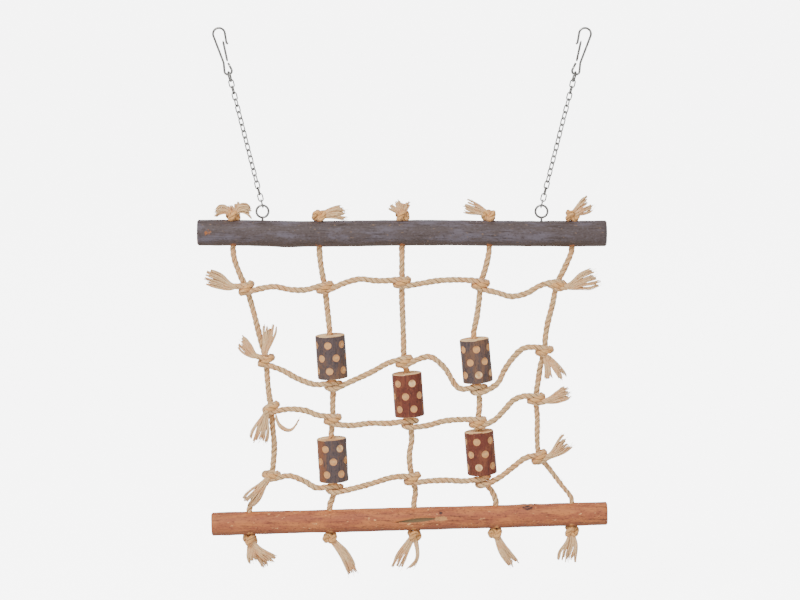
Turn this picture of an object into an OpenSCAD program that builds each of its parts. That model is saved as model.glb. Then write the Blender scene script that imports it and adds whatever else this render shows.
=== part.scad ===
// Hanging climbing net for small pets: two bark-covered sticks, a knotted rope net, five drilled
// wooden blocks, two small chains and two wire snap hooks.
// Millimetres. +Z is up, +X is to the right, -Y is the front.
// The origin is midway between the two hook seats.

/* [Sticks] */
// Length of the top stick
top_bar_length = 270; // [220:1:330]
// Diameter of the top stick
top_bar_diameter = 17; // [13:0.5:22]
// Length of the bottom stick
bottom_bar_length = 264; // [215:1:320]
// Diameter of the bottom stick
bottom_bar_diameter = 15.4; // [12:0.1:20]
// Height from the axis of the top stick down to the middle of the bottom stick
bar_spacing = 192; // [165:1:235]
// How far the right end of the bottom stick hangs higher than level, in degrees
bottom_tilt = 1.6; // [0:0.1:3]
// How much wider than the rope the holes in both sticks are
rope_clearance = 0.8; // [0.6:0.1:2]
// Bevel round the ends of both sticks
end_bevel = 1; // [0.3:0.1:1.8]

/* [Rope] */
// Diameter of the rope
rope_diameter = 4; // [3:0.1:4.2]
// Flats round each rope
rope_sides = 8; // [8:2:12]
// Height that a cross rope drops in one turn round an upright rope
knot_pitch = 4.6; // [4.4:0.1:5]

/* [Blocks] */
// Length of a block
block_length = 29; // [20:0.5:30]
// Diameter of a block
block_diameter = 20; // [15:0.5:24]
// How much wider than the rope the bore of a block is
bore_clearance = 1; // [0.8:0.1:3]
// Diameter of a drilled spot
spot_diameter = 5; // [3:0.1:6]
// Depth of a drilled spot
spot_depth = 0.6; // [0.3:0.1:1.2]
// Drilled spots in one row round a block
spots_per_row = 6; // [4:1:6]

/* [Hooks] */
// Distance between the two hook seats
hook_spacing = 241.4; // [225:0.2:290]
// Diameter of the hook wire
hook_wire = 1.5; // [1.1:0.1:1.6]
// Radius of the top loop of a hook, to the middle of the wire
hook_loop = 4.2; // [3.8:0.1:5]
// Radius of the bottom loop of a hook, to the middle of the wire
hook_foot = 2.5; // [2.4:0.1:3]
// Length of a hook from its seat to the middle of the wire at its foot
hook_length = 30.4; // [27:0.1:37]

/* [Chains] */
// Links in one chain
link_count = 20; // [16:2:24]
// Outside length of a link
link_length = 6.2; // [5.2:0.1:7.4]
// Outside width of a link
link_width = 4; // [3.9:0.1:4.8]
// Diameter of the link wire
link_wire = 0.9; // [0.7:0.05:0.9]
// Radius of the ring between hook and chain, to the middle of the wire
ring_radius = 3.2; // [3.1:0.1:3.8]
// Diameter of the ring wire
ring_wire = 1.2; // [0.9:0.1:1.3]

/* [Screw eyes] */
// Distance from the outer rope holes in to the screw eyes
eye_inset = 19.75; // [6.75:0.25:31.75]
// Radius of an eye, to the middle of the wire
eye_radius = 4; // [3.5:0.1:5]
// Diameter of the eye wire
eye_wire = 1.5; // [1:0.1:1.6]
// Depth of the screw shank in the stick
shank_depth = 8; // [4:0.5:11]

/* [Hidden] */
$fn = 64;

// Colours
steel = [0.72, 0.72, 0.70];
dark_bark = [0.38, 0.34, 0.36];
red_bark = [0.66, 0.40, 0.30];
slate_block = [0.30, 0.26, 0.30];
russet_block = [0.47, 0.23, 0.19];
jute = [0.80, 0.66, 0.47];

// Sizes that the routes below were drawn for
drawn_length = 270;
drawn_spacing = 192;
wide = top_bar_length / drawn_length;
tall = bar_spacing / drawn_spacing;

// Places of the rope holes along the top stick, as drawn
upright_top = [-111.5, -54.5, 0, 57.5, 112];

// What follows from the rope and its holes
rope_hole = rope_diameter + rope_clearance;
block_bore = rope_diameter + bore_clearance;
eye_spacing = wide * (upright_top[4] - upright_top[0]) - 2 * eye_inset;

// Gaps between pieces that hang in each other
hang_gap = 0.3;
link_gap = 0.1;

// One hanger, measured down its own slanting line from the hook seat
foot_down = hook_length;
ring_top = foot_down - hook_wire / 2 - ring_wire / 2 - hang_gap;
ring_down = ring_top + ring_radius;
first_link_top = ring_down + ring_radius - ring_wire / 2 - link_wire / 2 - link_gap;
link_pitch = link_length - 2 * link_wire - link_gap;
link_reach = link_length - link_wire;
last_link_foot = first_link_top + (link_count - 1) * link_pitch + link_reach;
hanger_length = last_link_foot - link_wire / 2 - eye_wire / 2 - hang_gap;
hanger_side = (hook_spacing - eye_spacing) / 2;
hanger_lean = asin(hanger_side / hanger_length);
hanger_drop = hanger_length * cos(hanger_lean);

// Turns about the hanger's own line: the ring square to the hook, the eye square to the last link,
// and the chain between them turned so that every link shows alike
ring_turn = 75;
chain_turn = 45;
last_link_turn = 90;
easing_links = 5;

// Turn of link i beyond its quarter turns
function link_turn(i) =
    ring_turn + (chain_turn - ring_turn) * min(1, i / easing_links)
    + (last_link_turn - chain_turn) * max(0, (i - link_count + 1 + easing_links) / easing_links);

// Heights
top_radius = top_bar_diameter / 2;
bottom_radius = bottom_bar_diameter / 2;
eye_stand = 2;
eye_top = -hanger_drop;
eye_centre = eye_top - eye_radius;
bar_height = eye_centre - eye_radius - eye_stand - top_radius;
rope_radius = rope_diameter / 2;
flex_gap = 3.2;
stub_proud = flex_gap - rope_radius - hang_gap;

// Bottom stick
bottom_centre = [5 * wide, 0, bar_height - bar_spacing];
function bottom_axis_height(x) = bottom_centre[2] + (x - bottom_centre[0]) * tan(bottom_tilt);
function bottom_flex(x) = bottom_axis_height(x) + (bottom_radius + flex_gap) / cos(bottom_tilt);
top_flex = bar_height - top_radius - flex_gap;

// Upright ropes: [x, z] from the axis of the top stick, top to bottom, without the two ends
upright_foot = [-101.5, -48, 8, 62.5, 113];
upright_routes = [
    [[-110.5, -18], [-106.5, -29], [-103, -36.5], [-100, -46], [-96.5, -59.5], [-93.5, -72],
        [-90, -85], [-89.5, -95], [-88.5, -106], [-87, -116.5], [-86, -130], [-85, -141],
        [-85.5, -152], [-87, -162], [-92.5, -170]],
    [[-53.5, -22], [-51, -36], [-49.5, -50], [-48, -64], [-45.5, -101.5], [-46, -113],
        [-46, -124.5], [-47, -135], [-45, -171], [-46, -177]],
    [[0, -22], [0, -32.5], [0, -44], [0.5, -56], [1, -70], [1.5, -85.5], [3, -91.5],
        [5.5, -127], [6.5, -138], [5, -148], [5.5, -157], [7, -164.5], [9, -173]],
    [[55.5, -22], [52, -34], [51, -45], [49.5, -56], [47.5, -67], [51, -104], [51.5, -115],
        [50.5, -126.5], [54, -166], [59.5, -172.5]],
    [[108, -22], [102.5, -34], [99.5, -48], [96.5, -60], [95, -70], [94.5, -78.5], [92, -88],
        [90.5, -98], [89, -110.5], [90, -124], [90, -138], [91.5, -150], [97, -156.5],
        [106, -168.5]]
];

// Where cross rope r is tied on upright u: the place of that point in the upright's route
tied_at = [
    [2, 1, 1, 1, 1],
    [6, 4, 5, 5, 5],
    [9, 6, 7, 7, 8],
    [13, 8, 11, 8, 11]
];

// Cross ropes between the uprights: [x, z] from the axis of the top stick
cross_spans = [
    [[[-92, -36], [-84, -35], [-73.5, -37], [-63, -37]],
        [[-39, -33], [-28, -30], [-18, -31], [-10, -31]],
        [[12, -33], [24, -31], [40, -30.5]],
        [[63, -39], [72, -41.5], [82, -39.5], [92, -34]]],
    [[[-79, -91], [-69, -96.5], [-57, -100.5]],
        [[-35, -99], [-20, -92], [-9, -86]],
        [[12, -83], [19, -82], [28, -89], [38, -103]],
        [[63, -100], [68, -90.5], [74, -82], [81, -76]]],
    [[[-75, -117], [-64, -118], [-56, -121]],
        [[-34, -128], [-21, -126.5], [-8, -126.5]],
        [[17, -128], [28, -125], [40, -124]],
        [[61, -124.5], [68, -117.5], [74, -111], [80, -108.5]]],
    [[[-75, -162], [-65, -165.5], [-57, -170]],
        [[-34, -171], [-21, -167.5], [-6, -163]],
        [[18, -165.5], [30, -165], [42, -165.5]],
        [[65, -163], [74, -156], [82, -150]]]
];

// Frayed tails: [x, y, z, radius], each from its tip to the knot, or from the knot to its tip
left_tails = [
    [[-130, -5, -28.5, 1.5], [-122, -5, -31.5, 4], [-113, -4.5, -35, 3.2]],
    [[-106, -5, -72.5, 1.5], [-103, -5, -77.5, 3], [-98, -4.5, -82, 2.4]],
    [[-98, -6, -136, 1.5], [-98, -6, -128, 3], [-96.5, -5, -119, 2.4]],
    [[-104, -7, -176, 2], [-102.5, -7, -169.5, 3.5], [-97, -6, -161.5, 2.4]]
];
right_tails = [
    [[112, -4.5, -34.5, 3.2], [120, -5, -31, 4.4], [127, -5, -28, 1.5]],
    [[102.5, -5, -84, 2.4], [104, -5.5, -90, 2.8], [103, -6, -95, 1.3]],
    [[98.5, -4.5, -111.5, 2.4], [105.5, -5, -108, 3], [112, -5, -105, 1.3]],
    [[101, -4.5, -148.5, 2.4], [107, -5, -143, 3], [111, -5, -137.5, 1.3]]
];

// Rope ends above the top stick: each strand is a list of [x, y, z] from the middle of the knot
top_strands = [
    [[[-6, -1, 4], [-12, -2, 3]], [[5, -1, 5], [10, -2, 1]]],
    [[[9, -1, 2], [20, -1, 1]]],
    [[[-4, -1, 6], [-10, -1, 8]], [[3, 0, 9]]],
    [[[-8, -1, 4], [-18, -1, 6]]],
    [[[8, -1, 4], [15, -1, 8]]]
];
// Rope ends below the bottom stick
bottom_strands = [
    [[[7, -2, -5], [17, -3, -12]], [[5, 2, -9], [11, 2, -18]], [[1, -1, -8], [2, -2, -15]]],
    [[[9, -2, -9], [14, -2, -19], [18, -2, -26]]],
    [[[-6, -2, -8], [-10, -2, -16], [-12, -2, -24]]],
    [[[3, -2, -10], [8, -2, -17], [12, -2, -22]]],
    [[[0, -2, -9], [-3, -2, -24]]]
];
strand_root = 2;
strand_tip = 1.1;

// Blocks: [upright, place of the knot that it rests on, russet]
block_seats = [[1, 4, false], [3, 5, false], [2, 7, true], [1, 8, false], [3, 8, true]];
block_gap = 0.5;
spot_rows = 3;
spot_row_pitch = 8.6;

// Small functions
function unit(v) = v / norm(v);
function across(v, t) = unit(v - (v * t) * t);
function upright_point(u, i) =
    let (p = upright_routes[u][i]) [p[0] * wide, 0, bar_height + p[1] * tall];
function upright_path(u) = concat(
    [[upright_top[u] * wide, 0, top_flex]],
    [for (i = [0 : len(upright_routes[u]) - 1]) upright_point(u, i)],
    [[upright_foot[u] * wide, 0, bottom_flex(upright_foot[u] * wide)]]
);
function knot_place(r, u) = upright_point(u, tied_at[r][u]);
// The upright's own direction where a cross rope is tied: halfway between its two neighbours
function knot_axis(r, u) =
    let (p = upright_path(u), i = tied_at[r][u] + 1)
    unit(unit(p[i - 1] - p[i]) + unit(p[i] - p[i + 1]));

// One turn of a cross rope round an upright, from the front, by the right, to the front
turn_steps = 12;
turn_radius = (rope_diameter + 0.1) / cos(180 / turn_steps);
function turn_round(r, u) =
    let (k = knot_place(r, u), a = knot_axis(r, u), side = [a[2], 0, -a[0]])
    [for (i = [0 : turn_steps])
        let (w = 360 * i / turn_steps)
        k + turn_radius * (sin(w) * side - cos(w) * [0, 1, 0])
            + a * knot_pitch * (0.5 - i / turn_steps)];
function front_point(p) =
    [p[0] * wide, -turn_radius, bar_height + p[1] * tall];
function span_points(r, s) = [for (p = cross_spans[r][s]) front_point(p)];
function tail_points(t) = [for (p = t) [p[0] * wide, p[1], bar_height + p[2] * tall]];
function cross_path(r) = concat(
    tail_points(left_tails[r]),
    turn_round(r, 0), span_points(r, 0),
    turn_round(r, 1), span_points(r, 1),
    turn_round(r, 2), span_points(r, 2),
    turn_round(r, 3), span_points(r, 3),
    turn_round(r, 4),
    tail_points(right_tails[r])
);
function cross_radii(r) =
    let (n = len(cross_path(r)), a = len(left_tails[r]), b = len(right_tails[r]))
    let (thick = rope_diameter / 4)
    [for (i = [0 : n - 1])
        i < a ? left_tails[r][i][3] * thick
        : i >= n - b ? right_tails[r][i - n + b][3] * thick
        : rope_radius];

// Wire sweeps
wire_sides = 12;
bend_step = 15;

// Tube swept along a path, with a frame carried from ring to ring
function path_tangents(p) =
    [for (i = [0 : len(p) - 1])
        i == 0 ? unit(p[1] - p[0])
        : i == len(p) - 1 ? unit(p[i] - p[i - 1])
        : unit(unit(p[i + 1] - p[i]) + unit(p[i] - p[i - 1]))];
function carried(t) =
    [for (i = 0, n = across([0, 1, 0.01], t[0]);
        i < len(t);
        i = i + 1, n = i < len(t) ? across(n, t[i]) : n) n];

module tube(path, radii, round = rope_sides) {
    t = path_tangents(path);
    n = carried(t);
    last = len(path) - 1;
    points = [for (i = [0 : last], k = [0 : round - 1])
        let (w = 360 * k / round)
        path[i] + radii[i] * (cos(w) * n[i] + sin(w) * cross(t[i], n[i]))];
    sides = [for (i = [0 : last - 1], k = [0 : round - 1])
        let (m = (k + 1) % round)
        [i * round + k, (i + 1) * round + k, (i + 1) * round + m, i * round + m]];
    near_cap = [[for (k = [0 : round - 1]) k]];
    far_cap = [[for (k = [round - 1 : -1 : 0]) last * round + k]];
    polyhedron(points = points, faces = concat(sides, near_cap, far_cap), convexity = 10);
}

// A straight round bar from a to b, with a radius at each end
module rod(a, b, ra, rb) {
    d = b - a;
    translate(a)
        rotate([0, acos(d[2] / norm(d)), atan2(d[1], d[0])])
            cylinder(h = norm(d), r1 = ra, r2 = rb);
}

// The middle line of a wire bent in the XZ plane. Each corner is [x, z, bend radius]
function run_of(c, i) = unit([c[i + 1][0] - c[i][0], 0, c[i + 1][1] - c[i][1]]);
function turn_of(c, i) =
    let (a = run_of(c, i - 1), b = run_of(c, i))
    atan2(a[0] * b[2] - a[2] * b[0], a[0] * b[0] + a[2] * b[2]);
function bend_points(c, i) =
    let (turn = turn_of(c, i), hand = turn > 0 ? 1 : -1, a = run_of(c, i - 1), r = c[i][2])
    let (inward = hand * [-a[2], 0, a[0]])
    let (start = [c[i][0], 0, c[i][1]] - a * r * tan(abs(turn) / 2))
    let (steps = ceil(abs(turn) / bend_step))
    [for (k = [0 : steps])
        let (w = abs(turn) * k / steps)
        start + inward * r * (1 - cos(w)) + a * r * sin(w)];
function bent_path(c) =
    let (last = len(c) - 1)
    concat(
        [[c[0][0], 0, c[0][1]]],
        [for (i = [1 : last - 1]) each bend_points(c, i)],
        [[c[last][0], 0, c[last][1]]]
    );

module torus(major, minor) {
    rotate_extrude()
        translate([major, 0])
            circle(r = minor);
}

// Places a piece of the right hanger on its slanting line; the left one is its mirror image
module on_hanger(side) {
    mirror([side < 0 ? 1 : 0, 0, 0])
        translate([hook_spacing / 2, 0, 0])
            rotate([0, hanger_lean, 0])
                children();
}

// Hook: the seat is at the origin, and the foot hangs straight below it
hook_radius = hook_wire / 2;
nose_end = [-hook_loop + 0.8, -10];
pivot = [-1, 0, 8.5 - hook_length];
tongue_tip = [-1.5, 0, nose_end[1] + 2];
foot_corner = [-hook_foot - 0.4, -hook_length];
root_way = unit([foot_corner[0] - pivot[0], foot_corner[1] - pivot[2]]);
root_end = [pivot[0], pivot[2]] + root_way * (hook_radius + hang_gap);
hook_corners = [
    [nose_end[0] - 0.9, nose_end[1] - 0.9, 0],
    [nose_end[0], nose_end[1], 1.2],
    [-hook_loop - 0.1, hook_radius, hook_loop * 0.92],
    [hook_loop + 0.1, hook_radius, hook_loop * 0.92],
    [1.6, pivot[2] - 0.4, 2],
    [-foot_corner[0], foot_corner[1], hook_foot * 0.9],
    [foot_corner[0], foot_corner[1], hook_foot * 0.9],
    [root_end[0], root_end[1], 0]
];

module hook(side) {
    path = bent_path(hook_corners);
    color(steel)
        on_hanger(side)
            tube(path, [for (p = path) hook_radius], wire_sides);
}

module tongue(side) {
    color(steel)
        on_hanger(side) {
            translate(pivot)
                sphere(r = hook_radius);
            rod(pivot, tongue_tip, hook_radius, hook_radius);
            translate(tongue_tip)
                sphere(r = hook_radius);
        }
}

module jump_ring(side) {
    color(steel)
        on_hanger(side)
            translate([0, 0, -ring_down])
                rotate([0, 0, ring_turn])
                    rotate([90, 0, 0])
                        torus(ring_radius, ring_wire / 2);
}

// One link, upright, in the XZ plane
module chain_link() {
    bend = (link_width - link_wire) / 2;
    straight = link_reach / 2 - bend;
    for (way = [0, 180])
        rotate([0, way, 0]) {
            translate([0, 0, straight])
                rotate([90, 0, 0])
                    rotate_extrude(angle = 180)
                        translate([bend, 0])
                            circle(r = link_wire / 2);
            translate([bend, 0, -straight])
                cylinder(h = 2 * straight, r = link_wire / 2);
        }
}

module hanger_chain(side) {
    color(steel)
        on_hanger(side)
            for (i = [0 : link_count - 1])
                translate([0, 0, -first_link_top - link_reach / 2 - i * link_pitch])
                    rotate([0, 0, link_turn(i) + 90 * (i + 1)])
                        chain_link();
}

module screw_eye(side) {
    color(steel)
        translate([side * eye_spacing / 2, 0, eye_centre]) {
            rotate([90, 0, 0])
                torus(eye_radius, eye_wire / 2);
            translate([0, 0, -eye_radius - eye_stand - shank_depth])
                cylinder(h = eye_stand + shank_depth, r = eye_wire / 2);
        }
}

// A round stick along X, centred, with bevelled ends
module stick(length, diameter) {
    r = diameter / 2;
    rotate([0, 90, 0]) {
        translate([0, 0, end_bevel - length / 2])
            cylinder(h = length - 2 * end_bevel, r = r);
        translate([0, 0, -length / 2])
            cylinder(h = end_bevel, r1 = r - end_bevel, r2 = r);
        translate([0, 0, length / 2 - end_bevel])
            cylinder(h = end_bevel, r1 = r, r2 = r - end_bevel);
    }
}

module top_bar() {
    color(dark_bark)
        difference() {
            translate([0, 0, bar_height])
                stick(top_bar_length, top_bar_diameter);
            for (x = upright_top)
                translate([x * wide, 0, bar_height - top_bar_diameter])
                    cylinder(h = 2 * top_bar_diameter, d = rope_hole);
            for (side = [-1, 1])
                translate([side * eye_spacing / 2, 0, bar_height + top_radius - shank_depth])
                    cylinder(h = 2 * shank_depth, d = eye_wire);
        }
}

// The bottom stick has a split along its front and a healed knot on top
split_length = 27;
split_height = 2;
split_disc = 60;
split_place = 6;
healed_knot = 79;
module bottom_bar() {
    split_sink = split_disc - sqrt(split_disc * split_disc - split_length * split_length / 4);
    color(red_bark)
        difference() {
            translate(bottom_centre)
                rotate([0, -bottom_tilt, 0])
                    difference() {
                        stick(bottom_bar_length, bottom_bar_diameter);
                        translate([split_place, split_sink - bottom_radius - split_disc, 0])
                            cylinder(h = split_height, r = split_disc, center = true, $fn = 200);
                        translate([healed_knot * wide, 0, bottom_radius + 1.6])
                            sphere(r = 3);
                    }
            for (x = upright_foot)
                translate([x * wide, 0, bottom_axis_height(x * wide)])
                    rotate([0, -bottom_tilt, 0])
                        cylinder(h = 2 * bottom_bar_diameter, d = rope_hole, center = true);
        }
}

module block(b) {
    u = block_seats[b][0];
    i = block_seats[b][1];
    seat = upright_point(u, i);
    way = unit(upright_point(u, i - 1) - seat);
    foot = knot_pitch / 2 + rope_radius + block_gap;
    rim = 0.8;
    r = block_diameter / 2;
    color(block_seats[b][2] ? russet_block : slate_block)
        translate(seat)
            rotate([0, atan2(way[0], way[2]), 0])
                translate([0, 0, foot])
                    difference() {
                        union() {
                            cylinder(h = rim, r1 = r - rim, r2 = r);
                            translate([0, 0, rim])
                                cylinder(h = block_length - 2 * rim, r = r);
                            translate([0, 0, block_length - rim])
                                cylinder(h = rim, r1 = r, r2 = r - rim);
                        }
                        translate([0, 0, -1])
                            cylinder(h = block_length + 2, d = block_bore);
                        for (row = [0 : spot_rows - 1], k = [0 : spots_per_row - 1])
                            translate([0, 0, block_length / 2 + (row - 1) * spot_row_pitch])
                                rotate([0, 90, (k + row / 2) * 360 / spots_per_row])
                                    translate([0, 0, r - spot_depth])
                                        cylinder(h = 2 * spot_depth + 1, d = spot_diameter, $fn = 32);
                    }
}

module upright_rope(u) {
    path = upright_path(u);
    color(jute)
        tube(path, [for (p = path) rope_radius]);
}

module cross_rope(r) {
    color(jute)
        tube(cross_path(r), cross_radii(r));
}

// The stub in the stick's hole, the stopper knot and its frayed strands
module rope_end(stub, knot, strands) {
    color(jute) {
        rod(stub, knot, rope_radius, rope_radius);
        translate(knot) {
            torus(rope_radius * 1.6, rope_radius * 1.1);
            sphere(r = rope_radius * 1.7);
            for (s = strands) {
                path = concat([[0, 0, 0]], s);
                last = len(path) - 1;
                tube(path, [for (i = [0 : last])
                    strand_root + (strand_tip - strand_root) * i / last]);
            }
        }
    }
}

end_knot_stand = 1.35 * rope_radius;
module top_end(u) {
    x = upright_top[u] * wide;
    rope_end([x, 0, bar_height - top_radius - stub_proud],
        [x, 0, bar_height + top_radius + end_knot_stand], top_strands[u]);
}

module bottom_end(u) {
    x = upright_foot[u] * wide;
    axis = bottom_axis_height(x);
    tilt = [-sin(bottom_tilt), 0, cos(bottom_tilt)];
    rope_end([x, 0, axis] + tilt * (bottom_radius + stub_proud),
        [x, 0, axis] - tilt * (bottom_radius + end_knot_stand), bottom_strands[u]);
}

hook(-1);  // hook_left
hook(1);  // hook_right
tongue(-1);  // tongue_left
tongue(1);  // tongue_right
jump_ring(-1);  // ring_left
jump_ring(1);  // ring_right
hanger_chain(-1);  // chain_left
hanger_chain(1);  // chain_right
screw_eye(-1);  // eye_left
screw_eye(1);  // eye_right
top_bar();
bottom_bar();
block(0);  // block_1
block(1);  // block_2
block(2);  // block_3
block(3);  // block_4
block(4);  // block_5
upright_rope(0);  // rope_1
upright_rope(1);  // rope_2
upright_rope(2);  // rope_3
upright_rope(3);  // rope_4
upright_rope(4);  // rope_5
cross_rope(0);  // cross_1
cross_rope(1);  // cross_2
cross_rope(2);  // cross_3
cross_rope(3);  // cross_4
top_end(0);  // top_end_1
top_end(1);  // top_end_2
top_end(2);  // top_end_3
top_end(3);  // top_end_4
top_end(4);  // top_end_5
bottom_end(0);  // bottom_end_1
bottom_end(1);  // bottom_end_2
bottom_end(2);  // bottom_end_3
bottom_end(3);  // bottom_end_4
bottom_end(4);  // bottom_end_5
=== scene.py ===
"""Hanging climbing net for small pets: bark sticks, knotted jute, drilled blocks, fine chain."""

import logging
import math
import random
from dataclasses import dataclass, field
from enum import Enum

import bpy
import numpy as np
from mathutils import Matrix, Vector


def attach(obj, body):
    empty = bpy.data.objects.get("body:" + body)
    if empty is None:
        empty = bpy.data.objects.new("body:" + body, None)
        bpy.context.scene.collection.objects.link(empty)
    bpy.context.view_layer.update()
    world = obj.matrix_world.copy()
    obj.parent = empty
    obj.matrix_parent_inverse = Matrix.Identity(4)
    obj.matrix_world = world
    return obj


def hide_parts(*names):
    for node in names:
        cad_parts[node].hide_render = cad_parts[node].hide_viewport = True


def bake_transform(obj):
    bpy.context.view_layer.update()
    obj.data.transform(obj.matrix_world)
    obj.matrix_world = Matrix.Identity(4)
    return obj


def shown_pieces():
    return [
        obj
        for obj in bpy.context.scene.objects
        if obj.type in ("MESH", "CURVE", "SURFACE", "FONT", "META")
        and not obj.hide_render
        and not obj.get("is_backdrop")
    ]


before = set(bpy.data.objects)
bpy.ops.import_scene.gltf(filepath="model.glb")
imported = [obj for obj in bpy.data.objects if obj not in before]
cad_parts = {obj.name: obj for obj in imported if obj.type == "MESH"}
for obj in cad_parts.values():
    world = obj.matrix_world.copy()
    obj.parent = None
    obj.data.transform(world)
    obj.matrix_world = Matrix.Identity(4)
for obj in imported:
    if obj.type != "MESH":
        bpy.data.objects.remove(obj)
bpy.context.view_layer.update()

LOG = logging.getLogger("climbing_net")
MM = 0.001
ANY_PHASE = 6.28
FRONT = np.array([0, 1.0, 0])


# ---------------------------------------------------------------- mesh helpers


def clear_selection() -> None:
    """Leave edit mode and deselect every object."""
    if bpy.context.object and bpy.context.object.mode != "OBJECT":
        bpy.ops.object.mode_set(mode="OBJECT")
    bpy.ops.object.select_all(action="DESELECT")


def pick(piece: bpy.types.Object) -> None:
    """Make one object the only selected and active one.

    Args:
        piece: The object to select.
    """
    clear_selection()
    piece.select_set(True)
    bpy.context.view_layer.objects.active = piece


def settle(piece: bpy.types.Object) -> None:
    """Bake an object's place into its mesh, so that it sits at the origin.

    Args:
        piece: The object to bake.
    """
    pick(piece)
    bpy.ops.object.transform_apply(location=True, rotation=True, scale=True)


def select_nothing(kind: str) -> None:
    """Deselect all of the active mesh, and leave it ready to be selected in code.

    Args:
        kind: What is about to be selected, FACE or EDGE.
    """
    bpy.ops.object.mode_set(mode="EDIT")
    bpy.ops.mesh.select_mode(type=kind)
    bpy.ops.mesh.select_all(action="DESELECT")
    bpy.ops.object.mode_set(mode="OBJECT")


def select_ends(piece: bpy.types.Object, axis: int) -> None:
    """Go into edit mode with a cylinder's two flat ends selected.

    Args:
        piece: The cylinder, active and in object mode.
        axis: The axis that it lies along, 0 for X or 2 for Z.
    """
    select_nothing("FACE")
    for face in piece.data.polygons:
        face.select = abs(face.normal[axis]) > 0.9
    bpy.ops.object.mode_set(mode="EDIT")


def read_points(mesh: bpy.types.Mesh) -> np.ndarray:
    """Return a mesh's points.

    Args:
        mesh: The mesh.

    Returns:
        One row of x, y and z for each point, in metres.
    """
    points = np.empty(len(mesh.vertices) * 3)
    mesh.vertices.foreach_get("co", points)
    return points.reshape(-1, 3)


def write_layer(mesh: bpy.types.Mesh, name: str, values: np.ndarray, kind: str = "POINT") -> None:
    """Write one number for each point or face of a mesh, for the materials to read.

    Args:
        mesh: The mesh.
        name: Name of the layer.
        values: The numbers.
        kind: POINT or FACE.
    """
    layer = mesh.attributes.new(name, "FLOAT", kind)
    layer.data.foreach_set("value", np.asarray(values, np.float32))


def dress(piece: bpy.types.Object, material: bpy.types.Material,
          body: str | None = None, node: str | None = None) -> None:
    """Give a finished piece its material and its place in the frame.

    Args:
        piece: The piece.
        material: Its material.
        body: The body that it rides on, or None for a piece that rides on none.
        node: The node that it stands for, if it has one.
    """
    piece.data.materials.append(material)
    if node:
        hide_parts(node)
    if body:
        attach(piece, body)


# ---------------------------------------------------------------- lines


def unit(v: np.ndarray) -> np.ndarray:
    """Return a vector scaled to length one."""
    return v / max(float(np.linalg.norm(v)), 1e-12)


def eased(x: np.ndarray | float) -> np.ndarray | float:
    """Return a smooth step from 0 to 1 of a value clipped to that range."""
    t = np.clip(x, 0.0, 1.0)
    return t * t * (3 - 2 * t)


def bell(u: np.ndarray, v: np.ndarray | float = 0.0) -> np.ndarray:
    """Return a bump that is 1 where both values are 0 and fades all round."""
    return np.exp(-(u * u + v * v))


def rounded_route(points: list, step: float) -> np.ndarray:
    """Run one smooth curve through route points, with even steps.

    Args:
        points: Route points, in metres.
        step: Distance between neighbouring points of the result, in metres.

    Returns:
        An array of points along the curve.
    """
    p = np.array(points, float)
    p = np.vstack([2 * p[0] - p[1], p, 2 * p[-1] - p[-2]])
    knots = np.concatenate([[0], np.cumsum(np.sqrt(np.linalg.norm(np.diff(p, axis=0), axis=1)))])
    out = []
    for i in range(1, len(p) - 2):
        t0, t1, t2, t3 = knots[i - 1 : i + 3]
        t = np.linspace(t1, t2, 14, endpoint=False)[:, None]
        a1 = (t1 - t) / (t1 - t0) * p[i - 1] + (t - t0) / (t1 - t0) * p[i]
        a2 = (t2 - t) / (t2 - t1) * p[i] + (t - t1) / (t2 - t1) * p[i + 1]
        a3 = (t3 - t) / (t3 - t2) * p[i + 1] + (t - t2) / (t3 - t2) * p[i + 2]
        b1 = (t2 - t) / (t2 - t0) * a1 + (t - t0) / (t2 - t0) * a2
        b2 = (t3 - t) / (t3 - t1) * a2 + (t - t1) / (t3 - t1) * a3
        out.append((t2 - t) / (t2 - t1) * b1 + (t - t1) / (t2 - t1) * b2)
    out.append(p[-2][None])
    return evenly(np.vstack(out), step)


def evenly(points: np.ndarray, step: float) -> np.ndarray:
    """Return the same line with its points spread evenly.

    Args:
        points: Points along a line.
        step: Wanted distance between points, in metres.

    Returns:
        The points, step apart or a little closer.
    """
    along = np.concatenate([[0], np.cumsum(np.linalg.norm(np.diff(points, axis=0), axis=1))])
    count = max(2, int(math.ceil(along[-1] / step)) + 1)
    want = np.linspace(0, along[-1], count)
    return np.stack([np.interp(want, along, points[:, k]) for k in range(3)], axis=1)


def length_of(points: np.ndarray) -> float:
    """Return the length of a line of points."""
    return float(np.linalg.norm(np.diff(points, axis=0), axis=1).sum())


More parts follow.
